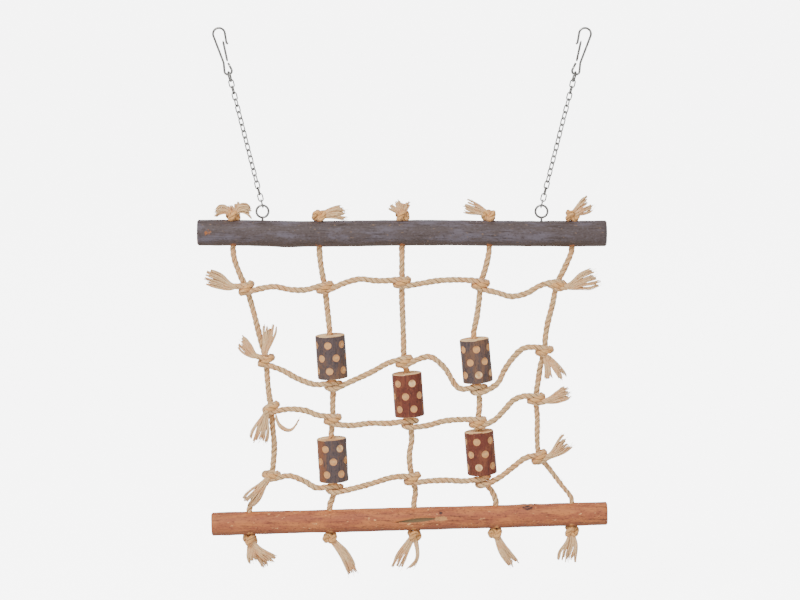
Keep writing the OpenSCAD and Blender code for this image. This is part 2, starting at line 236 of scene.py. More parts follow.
class Loom:
    """Gathers swept tubes into one mesh, with the coordinates that their fibres follow."""

    ridge_shape: float = 0.75
    fibre_stretch: float = 0.14
    fibre_shift: float = 0.00071

    def __init__(self) -> None:
        """Start with an empty mesh."""
        self.points: list[np.ndarray] = []
        self.faces: list[tuple] = []
        self.fibre: list[np.ndarray] = []
        self.groove: list[np.ndarray] = []
        self.size = 0

    def tube(self, line: np.ndarray, radii: np.ndarray | float, sides: int, lobes: int = 0,
             lay: float = 0.012, depth: float = 0.0, phase: float = 0.0) -> None:
        """Add one closed tube.

        Args:
            line: Points of its middle line, in metres.
            radii: Radius at each point, or one radius, in metres.
            sides: Flats round the tube.
            lobes: Strands that the tube is laid from, or 0 for a plain tube.
            lay: Length of one full turn of a strand, in metres.
            depth: Depth of the grooves between strands, as a share of the radius.
            phase: Turn of the strands at the start, in radians.
        """
        count = len(line)
        r = np.broadcast_to(np.asarray(radii, float), (count,))
        step = np.diff(line, axis=0)
        tangents = np.vstack([step[:1], step[1:] + step[:-1], step[-1:]])
        tangents /= np.maximum(np.linalg.norm(tangents, axis=1), 1e-12)[:, None]
        along = np.concatenate([[0], np.cumsum(np.linalg.norm(step, axis=1))])
        n = np.array([0.03, 1.0, 0.05]) if abs(tangents[0][1]) < 0.9 else np.array([1.0, 0, 0])
        normals = np.empty((count, 3))
        for i in range(count):
            n = unit(n - (n @ tangents[i]) * tangents[i])
            normals[i] = n
        sideways = np.cross(tangents, normals)
        angle = np.linspace(0, 2 * math.pi, sides, endpoint=False)[None, :]
        twist = np.full((count, 1), phase)
        ridge = np.ones((count, sides))
        if lobes:
            twist = (2 * math.pi * along / lay + phase)[:, None]
            ridge = np.abs(np.cos(lobes / 2 * (angle - twist))) ** self.ridge_shape
        reach = r[:, None] * (1 - depth + depth * ridge)
        ring = line[:, None, :] + reach[..., None] * (
            np.cos(angle)[..., None] * normals[:, None, :]
            + np.sin(angle)[..., None] * sideways[:, None, :])
        laid = angle - twist
        flat = np.stack(
            [r[:, None] * np.cos(laid), r[:, None] * np.sin(laid),
             np.broadcast_to(along[:, None] * self.fibre_stretch, laid.shape)], axis=-1)
        base = self.size
        self.points.append(ring.reshape(-1, 3))
        self.fibre.append(flat.reshape(-1, 3) + base * self.fibre_shift)
        self.groove.append(ridge.reshape(-1))
        for i in range(count - 1):
            low = base + i * sides
            for k in range(sides):
                m = (k + 1) % sides
                self.faces.append((low + k, low + m, low + sides + m, low + sides + k))
        self.faces.append(tuple(base + k for k in range(sides - 1, -1, -1)))
        self.faces.append(tuple(base + (count - 1) * sides + k for k in range(sides)))
        self.size += count * sides

    def cut(self, name: str) -> bpy.types.Object:
        """Turn what was gathered into a smooth object.

        Args:
            name: Name of the new object.

        Returns:
            The object, linked to the scene.
        """
        mesh = bpy.data.meshes.new(name)
        mesh.from_pydata(np.vstack(self.points).tolist(), [], self.faces)
        mesh.polygons.foreach_set("use_smooth", np.ones(len(mesh.polygons), bool))
        fibre = mesh.attributes.new("fibre", "FLOAT_VECTOR", "POINT")
        fibre.data.foreach_set("vector", np.vstack(self.fibre).astype(np.float32).ravel())
        # The groove layer is read by the jute materials to paint shade between the strands.
        write_layer(mesh, "groove", np.concatenate(self.groove))
        mesh.update()
        piece = bpy.data.objects.new(name, mesh)
        bpy.context.scene.collection.objects.link(piece)
        return piece


# ---------------------------------------------------------------- shader helpers


class Shades:
    """Builds one shader tree in short, named steps."""

    def __init__(self, tree: bpy.types.NodeTree) -> None:
        """Hold the tree that the nodes go into."""
        self.tree = tree

    def join(self, node: bpy.types.Node, inputs: dict) -> None:
        """Set or link a node's inputs.

        Args:
            node: The node.
            inputs: Values or sockets to join, by input name or number.
        """
        for key, value in inputs.items():
            if isinstance(value, bpy.types.NodeSocket):
                self.tree.links.new(value, node.inputs[key])
            else:
                node.inputs[key].default_value = value

    def add(self, kind: str, inputs: dict | None = None, **props: object) -> bpy.types.Node:
        """Add a node.

        Args:
            kind: Blender's name of the node type.
            inputs: Values or sockets to join, by input name or number.
            **props: Settings of the node itself.

        Returns:
            The node.
        """
        node = self.tree.nodes.new(kind)
        for key, value in props.items():
            setattr(node, key, value)
        self.join(node, inputs or {})
        return node

    def noise(self, at: bpy.types.NodeSocket, scale: float, detail: float = 4.0,
              rough: float = 0.55, warp: float = 0.0) -> bpy.types.NodeSocket:
        """Make a noise that varies over the piece.

        Args:
            at: The coordinate.
            scale: Lumps in one metre, roughly.
            detail: How many finer noises lie over the first.
            rough: Strength of each finer noise.
            warp: How far the coordinate is bent.

        Returns:
            The noise, about 0.5 on average.
        """
        return self.add("ShaderNodeTexNoise", {
            "Vector": at, "Scale": scale, "Detail": detail, "Roughness": rough,
            "Distortion": warp}).outputs["Fac"]

    def spread(self, value: bpy.types.NodeSocket, low: float, high: float) -> bpy.types.NodeSocket:
        """Stretch a range of a value to 0..1, eased at both ends.

        Args:
            value: The value.
            low: What becomes 0.
            high: What becomes 1.

        Returns:
            The new value.
        """
        return self.add("ShaderNodeMapRange", {
            "Value": value, "From Min": low, "From Max": high},
            interpolation_type="SMOOTHSTEP").outputs["Result"]

    def stretch(self, at: bpy.types.NodeSocket, scale: tuple, turn: tuple = (0, 0, 0),
                move: tuple = (0, 0, 0)) -> bpy.types.NodeSocket:
        """Return a coordinate that is moved, turned and scaled."""
        return self.add("ShaderNodeMapping", {
            "Vector": at, "Scale": scale, "Rotation": turn, "Location": move}).outputs["Vector"]

    def mix(self, amount: object, a: object, b: object) -> bpy.types.NodeSocket:
        """Return two colours mixed by an amount."""
        return self.add("ShaderNodeMix", {0: amount, 6: a, 7: b}, data_type="RGBA").outputs[2]

    def reckon(self, way: str, a: object, b: object, clamp: bool = False) -> bpy.types.NodeSocket:
        """Return one step of arithmetic on two values."""
        return self.add("ShaderNodeMath", {0: a, 1: b}, operation=way, use_clamp=clamp).outputs[0]

    def plus(self, a: object, b: object, clamp: bool = False) -> bpy.types.NodeSocket:
        """Return the sum of two values."""
        return self.reckon("ADD", a, b, clamp)

    def minus(self, a: object, b: object) -> bpy.types.NodeSocket:
        """Return one value less another."""
        return self.reckon("SUBTRACT", a, b)

    def times(self, a: object, b: object) -> bpy.types.NodeSocket:
        """Return the product of two values."""
        return self.reckon("MULTIPLY", a, b)

    def layer(self, name: str) -> bpy.types.NodeSocket:
        """Return a mesh layer's numbers."""
        return self.add("ShaderNodeAttribute", attribute_name=name).outputs["Fac"]

    def bump(self, height: bpy.types.NodeSocket, strength: float,
             distance: float) -> bpy.types.NodeSocket:
        """Return normals that are raised by a height."""
        return self.add("ShaderNodeBump", {
            "Height": height, "Strength": strength, "Distance": distance}).outputs["Normal"]


class Coat(Shades):
    """The shader tree of one material."""

    def __init__(self, name: str) -> None:
        """Start a material.

        Args:
            name: Name of the material.
        """
        self.material = bpy.data.materials.new(name)
        self.material.use_nodes = True
        super().__init__(self.material.node_tree)
        self.at = self.add("ShaderNodeTexCoord").outputs["Object"]

    def finish(self, inputs: dict) -> bpy.types.Material:
        """Join the main shader's inputs.

        Args:
            inputs: Values or sockets, by input name.

        Returns:
            The material.
        """
        self.join(self.tree.nodes["Principled BSDF"], inputs)
        return self.material


def tint(red: int, green: int, blue: int) -> tuple[float, float, float, float]:
    """Turn a display colour into a linear one.

    Args:
        red: Red, from 0 to 255.
        green: Green, from 0 to 255.
        blue: Blue, from 0 to 255.

    Returns:
        The colour with full alpha.
    """
    def line(c: int) -> float:
        """Return one channel without its display curve."""
        x = c / 255
        return x / 12.92 if x <= 0.04045 else ((x + 0.055) / 1.055) ** 2.4
    return line(red), line(green), line(blue), 1.0


class Socket(Enum):
    """What a group's input or output carries."""

    COLOUR = "NodeSocketColor"
    NUMBER = "NodeSocketFloat"
    PLACE = "NodeSocketVector"


def new_group(name: str, wants: dict, gives: dict) -> bpy.types.NodeTree:
    """Make an empty shader node group.

    Args:
        name: Name of the group.
        wants: What each input carries, by name.
        gives: What each output carries, by name.

    Returns:
        The group's tree.
    """
    tree = bpy.data.node_groups.new(name, "ShaderNodeTree")
    for way, sockets in (("INPUT", wants), ("OUTPUT", gives)):
        for title, kind in sockets.items():
            tree.interface.new_socket(name=title, in_out=way, socket_type=kind.value)
    return tree


def mottle_group() -> bpy.types.NodeTree:
    """Find or build the group that lays patches, streaks and flecks over a ground colour.

    Returns:
        The group's tree.
    """
    found = bpy.data.node_groups.get("mottled_bark")
    if found:
        return found
    tree = new_group(
        "mottled_bark",
        {"At": Socket.PLACE, "Ground": Socket.COLOUR, "Patch": Socket.COLOUR,
         "Streak": Socket.COLOUR, "Patch amount": Socket.NUMBER, "Fleck": Socket.COLOUR},
        {"Color": Socket.COLOUR, "Height": Socket.NUMBER, "Roughness": Socket.NUMBER})
    s = Shades(tree)
    given = s.add("NodeGroupInput").outputs
    at = given["At"]
    patches = s.noise(s.stretch(at, (0.28, 1.0, 1.0)), scale=150.0, detail=5.0, rough=0.62, warp=0.4)
    streaks = s.noise(s.stretch(at, (0.07, 1.0, 1.0)), scale=900.0, rough=0.6, warp=0.2)
    flecks = s.noise(s.stretch(at, (0.5, 1.0, 1.0), move=(0.1, 0.2, 0.3)),
                     scale=620.0, detail=2.0, rough=0.5)
    specks = s.noise(s.stretch(at, (0.55, 1.0, 1.0), move=(0.3, 0.1, 0.2)),
                     scale=1050.0, detail=2.0)
    fine = s.noise(s.stretch(at, (0.3, 1.0, 1.0)), scale=2400.0, detail=3.0, rough=0.6)
    edge = s.minus(0.72, s.times(given["Patch amount"], 0.35))
    over = s.times(s.minus(patches, edge), 7.0)
    patched = s.mix(s.plus(over, 0.5, clamp=True), given["Ground"], given["Patch"])
    streaked = s.mix(s.spread(streaks, 0.52, 0.74), patched, given["Streak"])
    dark = s.mix(s.times(s.spread(specks, 0.56, 0.7), 0.6), streaked, given["Streak"])
    warm = s.mix(s.times(s.spread(specks, 0.44, 0.32), 0.5), dark, given["Patch"])
    s.add("NodeGroupOutput", {
        "Color": s.mix(s.spread(flecks, 0.66, 0.74), warm, given["Fleck"]),
        "Height": s.plus(s.times(streaks, 0.6), s.times(fine, 0.4)),
        "Roughness": s.plus(0.46, s.times(patches, 0.3))})
    return tree


def sawn_group() -> bpy.types.NodeTree:
    """Find or build the group that draws sawn wood with growth rings round an axis.

    Returns:
        The group's tree.
    """
    found = bpy.data.node_groups.get("sawn_wood")
    if found:
        return found
    tree = new_group(
        "sawn_wood",
        {"At": Socket.PLACE, "Light": Socket.COLOUR, "Dark": Socket.COLOUR, "Out": Socket.NUMBER},
        {"Color": Socket.COLOUR})
    s = Shades(tree)
    given = s.add("NodeGroupInput").outputs
    wobble = s.noise(given["At"], scale=260.0, detail=3.0)
    blotch = s.noise(given["At"], scale=320.0, detail=3.0, rough=0.6)
    turns = s.plus(s.times(given["Out"], 5200.0), s.times(wobble, 7.0))
    rings = s.add("ShaderNodeMath", {0: turns}, operation="SINE").outputs[0]
    amount = s.plus(s.times(s.spread(rings, -0.2, 1.0), 0.35),
                    s.times(s.spread(blotch, 0.4, 0.75), 0.55), clamp=True)
    s.add("NodeGroupOutput", {"Color": s.mix(amount, given["Light"], given["Dark"])})
    return tree


# ---------------------------------------------------------------- finishes


class Bark(Enum):
    """The sticks' two kinds of bark."""

    SLATE = "slate_bark"
    RUSSET = "russet_bark"


@dataclass(frozen=True)
class StickFinish:
    """Bark of a stick, with bare wood where it is torn, split or sawn, and painted shade on its
    underside.
    """

    kind: Bark
    ground: tuple
    patch: tuple
    streak: tuple
    fleck: tuple
    # Colour of the painted shade on the stick's underside.
    under: tuple
    bare: tuple
    amount: float
    rot: tuple = tint(112, 90, 60)
    knot: tuple = tint(74, 44, 40)

    def material(self) -> bpy.types.Material:
        """Build the material of this finish.

        Returns:
            The material.
        """
        s = Coat(self.kind.value)
        bark = s.add("ShaderNodeGroup", {
            "At": s.at, "Ground": self.ground, "Patch": self.patch, "Streak": self.streak,
            "Fleck": self.fleck, "Patch amount": self.amount}, node_tree=mottle_group()).outputs
        wood = s.add("ShaderNodeGroup", {
            "At": s.at, "Light": self.bare, "Dark": tuple(0.62 * c for c in self.bare[:3]) + (1,),
            "Out": s.layer("out")}, node_tree=sawn_group()).outputs
        ragged = s.noise(s.at, scale=700.0, rough=0.65)
        torn = s.spread(s.plus(s.layer("torn"), s.times(ragged, 0.8)), 0.78, 0.92)
        split = s.spread(s.plus(s.layer("split"), s.times(ragged, 0.3)), 0.5, 0.75)
        knotty = s.spread(s.plus(s.layer("knot"), s.times(ragged, 0.4)), 0.55, 0.95)
        # Painted shade: the underside is mixed towards the under colour.
        colour = s.mix(s.times(s.layer("under"), 0.75), bark["Color"], self.under)
        for amount, over in ((torn, wood["Color"]), (split, self.rot), (knotty, self.knot)):
            colour = s.mix(amount, colour, over)
        return s.finish({
            "Base Color": colour, "Roughness": bark["Roughness"], "Specular IOR Level": 0.35,
            "Normal": s.bump(bark["Height"], strength=0.55, distance=0.0006)})


@dataclass(frozen=True)
class BlockFinish:
    """Stained bark of a block, with pale wood in its drilled spots and at its ends, and painted shade
    on the spots' walls and dimples.
    """

    name: str
    ground: tuple
    patch: tuple
    streak: tuple
    pale: tuple = tint(250, 216, 160)
    # Dark colour of the growth rings, and of the painted shade in the drilled spots' walls and dimples.
    ring_and_hollow_shade: tuple = tint(212, 152, 94)
    rubbed: tuple = tint(140, 84, 50)

    def material(self) -> bpy.types.Material:
        """Build the material of this finish.

        Returns:
            The material.
        """
        s = Coat(self.name)
        upright = s.stretch(s.at, (1, 1, 1), turn=(0, math.pi / 2, 0))
        bark = s.add("ShaderNodeGroup", {
            "At": upright, "Ground": self.ground, "Patch": self.patch, "Streak": self.streak,
            "Fleck": self.patch, "Patch amount": 0.45}, node_tree=mottle_group()).outputs
        wood = s.add("ShaderNodeGroup", {
            "At": s.at, "Light": self.pale, "Dark": self.ring_and_hollow_shade, "Out": s.layer("out")},
            node_tree=sawn_group()).outputs
        bare = s.spread(s.layer("bare"), 0.35, 0.65)
        # Painted shade: the walls and dimples of the drilled spots are darkened.
        shaded = s.mix(s.times(s.layer("sunken"), 0.75), wood["Color"], self.ring_and_hollow_shade)
        ragged = s.plus(s.layer("rubbed"), s.noise(s.at, scale=420.0, rough=0.65))
        stained = s.mix(s.times(s.spread(ragged, 0.9, 1.5), 0.85), bark["Color"], self.rubbed)
        return s.finish({
            "Base Color": s.mix(bare, stained, shaded), "Specular IOR Level": 0.4,
            "Roughness": s.plus(0.5, s.times(bare, 0.25)),
            "Normal": s.bump(bark["Height"], strength=0.45, distance=0.0004)})


@dataclass(frozen=True)
class JuteFinish:
    """Laid jute: straw-coloured fibre, with painted shade between the strands."""

    name: str
    straw: tuple
    pale: tuple
    # Colour of the dark fibres, and of the painted shade between the strands.
    shade: tuple
    warm: tuple

    def material(self) -> bpy.types.Material:
        """Build the material of this finish.

        Returns:
            The material.
        """
        s = Coat(self.name)
        fibre = s.add("ShaderNodeAttribute", attribute_name="fibre").outputs["Vector"]
        threads = s.noise(fibre, scale=3600.0, detail=3.0, rough=0.6)
        wide = s.noise(s.at, scale=120.0, detail=3.0, rough=0.6)
        # Painted shade between the strands, stronger where a point lies deeper in a groove.
        groove = s.times(s.spread(s.layer("groove"), 0.62, 0.1), 0.8)
        colour = s.mix(s.spread(wide, 0.42, 0.66), self.straw, self.warm)
        colour = s.mix(s.spread(threads, 0.5, 0.74), colour, self.pale)
        for amount in (s.spread(threads, 0.46, 0.24), groove):
            colour = s.mix(amount, colour, self.shade)
        return s.finish({
            "Base Color": colour, "Roughness": 0.85, "Specular IOR Level": 0.2,
            "Sheen Weight": 0.25, "Sheen Roughness": 0.5,
            "Normal": s.bump(threads, strength=0.7, distance=0.0005)})


@dataclass(frozen=True)
class PlatedFinish:
    """Bright plated wire, with faint drawn lines and dull spots."""

    name: str
    bright: tuple = tint(152, 151, 148)
    dull: tuple = tint(112, 108, 102)
    rough: float = 0.2

    def material(self) -> bpy.types.Material:
        """Build the material of this finish.

        Returns:
            The material.
        """
        s = Coat(self.name)
        dull = s.noise(s.at, scale=700.0, rough=0.6)
        drawn = s.noise(s.at, scale=2600.0, detail=2.0)
        return s.finish({
            "Base Color": s.mix(s.spread(dull, 0.4, 0.75), self.bright, self.dull),
            "Roughness": s.plus(self.rough, s.times(dull, 0.22)), "Metallic": 1.0,
            "Normal": s.bump(drawn, strength=0.12, distance=0.0002)})


# Each stick's under colour is painted shade for its underside.
SLATE_STICK = StickFinish(
    Bark.SLATE, ground=tint(84, 72, 71), patch=tint(102, 94, 102), streak=tint(58, 45, 41),
    fleck=tint(124, 102, 86), under=tint(78, 58, 45), bare=tint(164, 100, 56), amount=0.5)
RUSSET_STICK = StickFinish(
    Bark.RUSSET, ground=tint(166, 94, 62), patch=tint(196, 120, 70), streak=tint(94, 52, 38),
    fleck=tint(228, 170, 112), under=tint(112, 60, 42), bare=tint(206, 146, 90), amount=0.6)
SLATE_BLOCK = BlockFinish(
    "slate_block", ground=tint(86, 71, 70), patch=tint(118, 84, 62), streak=tint(48, 38, 40))
RUSSET_BLOCK = BlockFinish(
    "russet_block", ground=tint(108, 48, 32), patch=tint(134, 76, 48), streak=tint(60, 28, 22))
JUTE = JuteFinish(
    "laid_jute", straw=tint(228, 184, 130), pale=tint(255, 226, 180), shade=tint(82, 54, 27),
    warm=tint(234, 174, 116))
KNOT_JUTE = JuteFinish(
    "knotted_jute", straw=tint(232, 172, 106), pale=tint(252, 214, 156), shade=tint(92, 58, 26),
    warm=tint(236, 168, 98))
FRAYED_JUTE = JuteFinish(
    "frayed_jute", straw=tint(236, 194, 142), pale=tint(255, 230, 190), shade=tint(140, 96, 54),
    warm=tint(236, 178, 122))
PLATED = PlatedFinish("plated_wire")


# ---------------------------------------------------------------- routes

# Lengths are millimetres. Routes are x and z, with z measured from the axis of the top stick.
BAR_HEIGHT = -134.502
TOP_RADIUS = 8.5
BOTTOM_RADIUS = 7.7
BAR_SPACING = 192.0
TILT = math.radians(1.6)
BOTTOM_MIDDLE = 5.0
FLEX_GAP = 3.2
ROPE = 4.2
TURN_RADIUS = 4.1 / math.cos(math.radians(15))
KNOT_PITCH = 4.6

UPRIGHT_TOP = [-111.5, -54.5, 0.0, 57.5, 112.0]
UPRIGHT_FOOT = [-101.5, -48.0, 8.0, 62.5, 113.0]
UPRIGHTS = [
    [(-110.5, -18), (-106.5, -29), (-103, -36.5), (-100, -46), (-96.5, -59.5), (-93.5, -72),
     (-90, -85), (-89.5, -95), (-88.5, -106), (-87, -116.5), (-86, -130), (-85, -141),
     (-85.5, -152), (-87, -162), (-92.5, -170)],
    [(-53.5, -22), (-51, -36), (-49.5, -50), (-48, -64), (-45.5, -101.5), (-46, -113),
     (-46, -124.5), (-47, -135), (-45, -171), (-46, -177)],
    [(0, -22), (0, -32.5), (0, -44), (0.5, -56), (1, -70), (1.5, -85.5), (3, -91.5),
     (5.5, -127), (6.5, -138), (5, -148), (5.5, -157), (7, -164.5), (9, -173)],
    [(55.5, -22), (52, -34), (51, -45), (49.5, -56), (47.5, -67), (51, -104), (51.5, -115),
     (50.5, -126.5), (54, -166), (59.5, -172.5)],
    [(108, -22), (102.5, -34), (99.5, -48), (96.5, -60), (95, -70), (94.5, -78.5), (92, -88),
     (90.5, -98), (89, -110.5), (90, -124), (90, -138), (91.5, -150), (97, -156.5),
     (106, -168.5)],
]

# Number of the route point where each cross rope, from the top, is tied to each upright.
TIED_AT = [[2, 1, 1, 1, 1], [6, 4, 5, 5, 5], [9, 6, 7, 7, 8], [13, 8, 11, 8, 11]]

# What each cross rope runs through between one upright and the next.
CROSS_SPANS = [
    [[(-92, -36), (-84, -35), (-73.5, -37), (-63, -37)],
     [(-39, -33), (-28, -30), (-18, -31), (-10, -31)],
     [(12, -33), (24, -31), (40, -30.5)],
     [(63, -39), (72, -41.5), (82, -39.5), (92, -34)]],
    [[(-79, -91), (-69, -96.5), (-57, -100.5)],
     [(-35, -99), (-20, -92), (-9, -86)],
     [(12, -83), (19, -82), (28, -89), (38, -103)],
     [(63, -100), (68, -90.5), (74, -82), (81, -76)]],
    [[(-75, -117), (-64, -118), (-56, -121)],
     [(-34, -128), (-21, -126.5), (-8, -126.5)],
     [(17, -128), (28, -125), (40, -124)],
     [(61, -124.5), (68, -117.5), (74, -111), (80, -108.5)]],
    [[(-75, -162), (-65, -165.5), (-57, -170)],
     [(-34, -171), (-21, -167.5), (-6, -163)],
     [(18, -165.5), (30, -165), (42, -165.5)],
     [(65, -163), (74, -156), (82, -150)]],
]

# Upright, route point under the block, and whether the block is russet.
BLOCKS = [(1, 4, False), (3, 5, False), (2, 7, True), (1, 8, False), (3, 8, True)]
BLOCK_SEGMENTS = {(u, i - 1) for u, i, _ in BLOCKS}

# Knots, as cross rope and upright, that a block sits on.
SEATED = {(1, 1), (1, 3), (2, 2), (3, 1), (3, 3)}


def bottom_flex(x: float) -> float:
    """Return the height of the bottom stick's hinge line at x, in millimetres."""
    axis = BAR_HEIGHT - BAR_SPACING + (x - BOTTOM_MIDDLE) * math.tan(TILT)
    return axis + (BOTTOM_RADIUS + FLEX_GAP) / math.cos(TILT)


def upright_point(u: int, i: int) -> np.ndarray:
    """Return one route point of an upright, in millimetres."""
    x, z = UPRIGHTS[u][i]
    return np.array([x, 0.0, BAR_HEIGHT + z])


def upright_route(u: int, blocks: bool = True) -> list[np.ndarray]:
    """Return an upright's route, from hinge to hinge.

    Args:
        u: Number of the upright, from the left.
        blocks: Whether points are added to keep it straight where a block hangs.

    Returns:
        Route points in millimetres.
    """
    route = [np.array([UPRIGHT_TOP[u], 0.0, BAR_HEIGHT - TOP_RADIUS - FLEX_GAP])]
    for i in range(len(UPRIGHTS[u])):
        route.append(upright_point(u, i))
        if blocks and (u, i) in BLOCK_SEGMENTS:
            a, b = upright_point(u, i), upright_point(u, i + 1)
            route += [a + (b - a) * share for share in (0.1, 0.35, 0.65, 0.9)]
    return route + [np.array([UPRIGHT_FOOT[u], 0.0, bottom_flex(UPRIGHT_FOOT[u])])]


@dataclass
class Crossing:
    """Where a cross rope is tied to an upright."""

    cross: int
    upright: int
    turn_steps: int = 12
    strap_steps: int = 8
    strap_sweep: float = 236.0
    strap_rise: float = 1.5
    strap_sink: float = 0.7

    def __post_init__(self) -> None:
        """Find the knot's middle and the directions along and across the upright."""
        route = upright_route(self.upright, blocks=False)
        i = TIED_AT[self.cross][self.upright] + 1
        self.middle = route[i]
        self.axis = unit(unit(route[i - 1] - route[i]) + unit(route[i] - route[i + 1]))
        self.side = np.array([self.axis[2], 0.0, -self.axis[0]])

    def beside(self, angle: float, reach: float, rise: float) -> np.ndarray:
        """Return a point beside the upright.

        Args:
            angle: Turn from the front towards the right, in radians.
            reach: Distance from the upright's middle, in millimetres.
            rise: Height over the knot's middle, in knot pitches.

        Returns:
            The point, in millimetres.
        """
        out = math.sin(angle) * self.side - math.cos(angle) * FRONT
        return self.middle + reach * out + self.axis * KNOT_PITCH * rise

    def turn(self) -> list[np.ndarray]:
        """Return the cross rope's one turn round the upright, in millimetres."""
        count = self.turn_steps
        return [self.beside(2 * math.pi * step / count, TURN_RADIUS, 0.5 - step / count)
                for step in range(count + 1)]

    def strap(self) -> list[np.ndarray]:
        """Return the strap that crosses the turn in front.

        Returns:
            Route points in millimetres, from its left side to its right.
        """
        out = []
        for step in range(self.strap_steps + 1):
            w = math.radians(-self.strap_sweep / 2 + self.strap_sweep * step / self.strap_steps)
            before = math.cos(w)
            over = self.strap_rise * before ** 2 if before > 0 else -self.strap_sink
            out.append(self.beside(w, TURN_RADIUS + over, 0.48 * math.sin(w / 1.25)))
        return out


def cross_route(r: int) -> list[np.ndarray]:
    """Return a cross rope's route from its first turn to its last.

    Args:
        r: Number of the cross rope, from the top.

    Returns:
        Route points in millimetres.
    """
    route = Crossing(r, 0).turn()
    for u, span in enumerate(CROSS_SPANS[r], start=1):
        route += [np.array([x, -TURN_RADIUS, BAR_HEIGHT + z]) for x, z in span]
        route += Crossing(r, u).turn()
    return route


# ---------------------------------------------------------------- ropes


def uneven(line: np.ndarray, seed: int) -> np.ndarray:
    """Return a rope's radius at each point, swelling and thinning a little.

    Args:
        line: Points of the rope's middle line, in metres.
        seed: Seed of its randomness.

    Returns:
        The radii, in metres.
    """
    rng = random.Random(seed)
    along = np.linspace(0, length_of(line), len(line))
    swell = np.zeros(len(line))
    for wave in (0.031, 0.0137, 0.0061):
        swell += np.sin(along / wave * rng.uniform(5, 7) + rng.uniform(0, ANY_PHASE)) * 0.028
    return ROPE / 2 * MM * (1 + swell)


@dataclass
class FrayedEnd:
    """A rope's unlaid end: a dense brush of fine yarns that fans out along a route."""

    route: list
    width: float
    yarns: int
    seed: int
    root: float
    locks: int = 6
    strays: float = 0.14
    overrun: float = 0.22
    step: float = 1.1
    gather: float = 0.26
    taper: tuple = (1.2, 1.15, 0.8)

    def weave(self, loom: Loom) -> None:
        """Add the yarns to a mesh.

        Args:
            loom: Where the tubes go.
        """
        rng = random.Random(self.seed)
        route = [np.array(p) * MM for p in self.route]
        route.append(route[-1] + self.overrun * (route[-1] - route[-2]))
        spine = rounded_route(route, self.step * MM)
        flat = unit(np.cross(unit(spine[-1] - spine[0]), FRONT))
        locks = [(rng.uniform(0.86, 1.0), rng.uniform(0, ANY_PHASE)) for _ in range(self.locks)]
        for _ in range(self.yarns):
            stray = rng.random() < self.strays
            lock_at = rng.uniform(-1, 1)
            lock = int((lock_at + 1) / 2 * (self.locks - 0.01))
            middle = -1 + 2 * (lock + 0.5) / self.locks
            spot = lock_at * (1 - self.gather) + middle * self.gather
            deep = rng.uniform(-1, 1) * math.sqrt(max(0.0, 1 - 0.7 * spot * spot))
            reach = rng.uniform(0.5, 1.06) if stray else locks[lock][0] * rng.uniform(0.82, 1.02)
            line = spine[:max(5, int(len(spine) * reach))]
            share = np.linspace(0, reach, len(line))
            fan = eased(share / 0.85) ** 0.8
            half = self.root + (self.width / 2 - self.root) * fan
            swing = np.sin(share * 5.0 + locks[lock][1]) * share * (1.5 if stray else 0.5)
            ripple = np.sin(share * rng.uniform(6, 11) + rng.uniform(0, ANY_PHASE)) * share * 0.45
            sideways = (spot * half + swing + ripple * 0.5) * MM
            forwards = (deep * (self.root * (1 - 0.25 * fan)) + ripple) * MM
            thick = 0.11 if stray else rng.uniform(0.26, 0.46)
            radii = thick * MM * np.interp(share / reach, [0, 0.6, 1.0], self.taper)
            loom.tube(line + (sideways[:, None] * flat + forwards[:, None] * FRONT), radii, 5,
                      lay=0.006, phase=rng.uniform(0, ANY_PHASE))


@dataclass
class StopperKnot:
    """A tight overhand knot with its frayed ends."""

    middle: np.ndarray
    tails: list
    seed: int
    spin: float
    width: float = 11.0
    height: float = 7.6
    rope_radius: float = 1.95
    lay: float = 11.5
    yarns: int = 120
    root: float = 1.7

    def weave(self, loom: Loom) -> None:
        """Add the knot to a mesh.

        Args:
            loom: Where the tube goes.
        """
        t = np.linspace(0, 2 * math.pi, 150)
        x = np.sin(t) + 2 * np.sin(2 * t)
        y = np.cos(t) - 2 * np.cos(2 * t)
        z = -np.sin(3 * t)
        reach = (self.width / 2 - self.rope_radius) / 3.0
        rise = self.height / 2 - self.rope_radius
        line = np.stack([x * reach, y * reach * 0.95, z * rise * 1.1], axis=1)
        c, s = math.cos(self.spin), math.sin(self.spin)
        line = line @ np.array([[c, s, 0], [-s, c, 0], [0, 0, 1]])
        loom.tube((line + self.middle) * MM, self.rope_radius * MM, 16, 3, self.lay * MM, 0.22,
                  self.seed)

    def fray(self, loom: Loom) -> None:
        """Add the frayed ends to a mesh.

        Args:
            loom: Where the tubes go.
        """
        for n, (tips, width) in enumerate(self.tails):
            route = [self.middle] + [self.middle + np.array(p) for p in tips]
            FrayedEnd(route, width, self.yarns, self.seed * 7 + n, self.root).weave(loom)


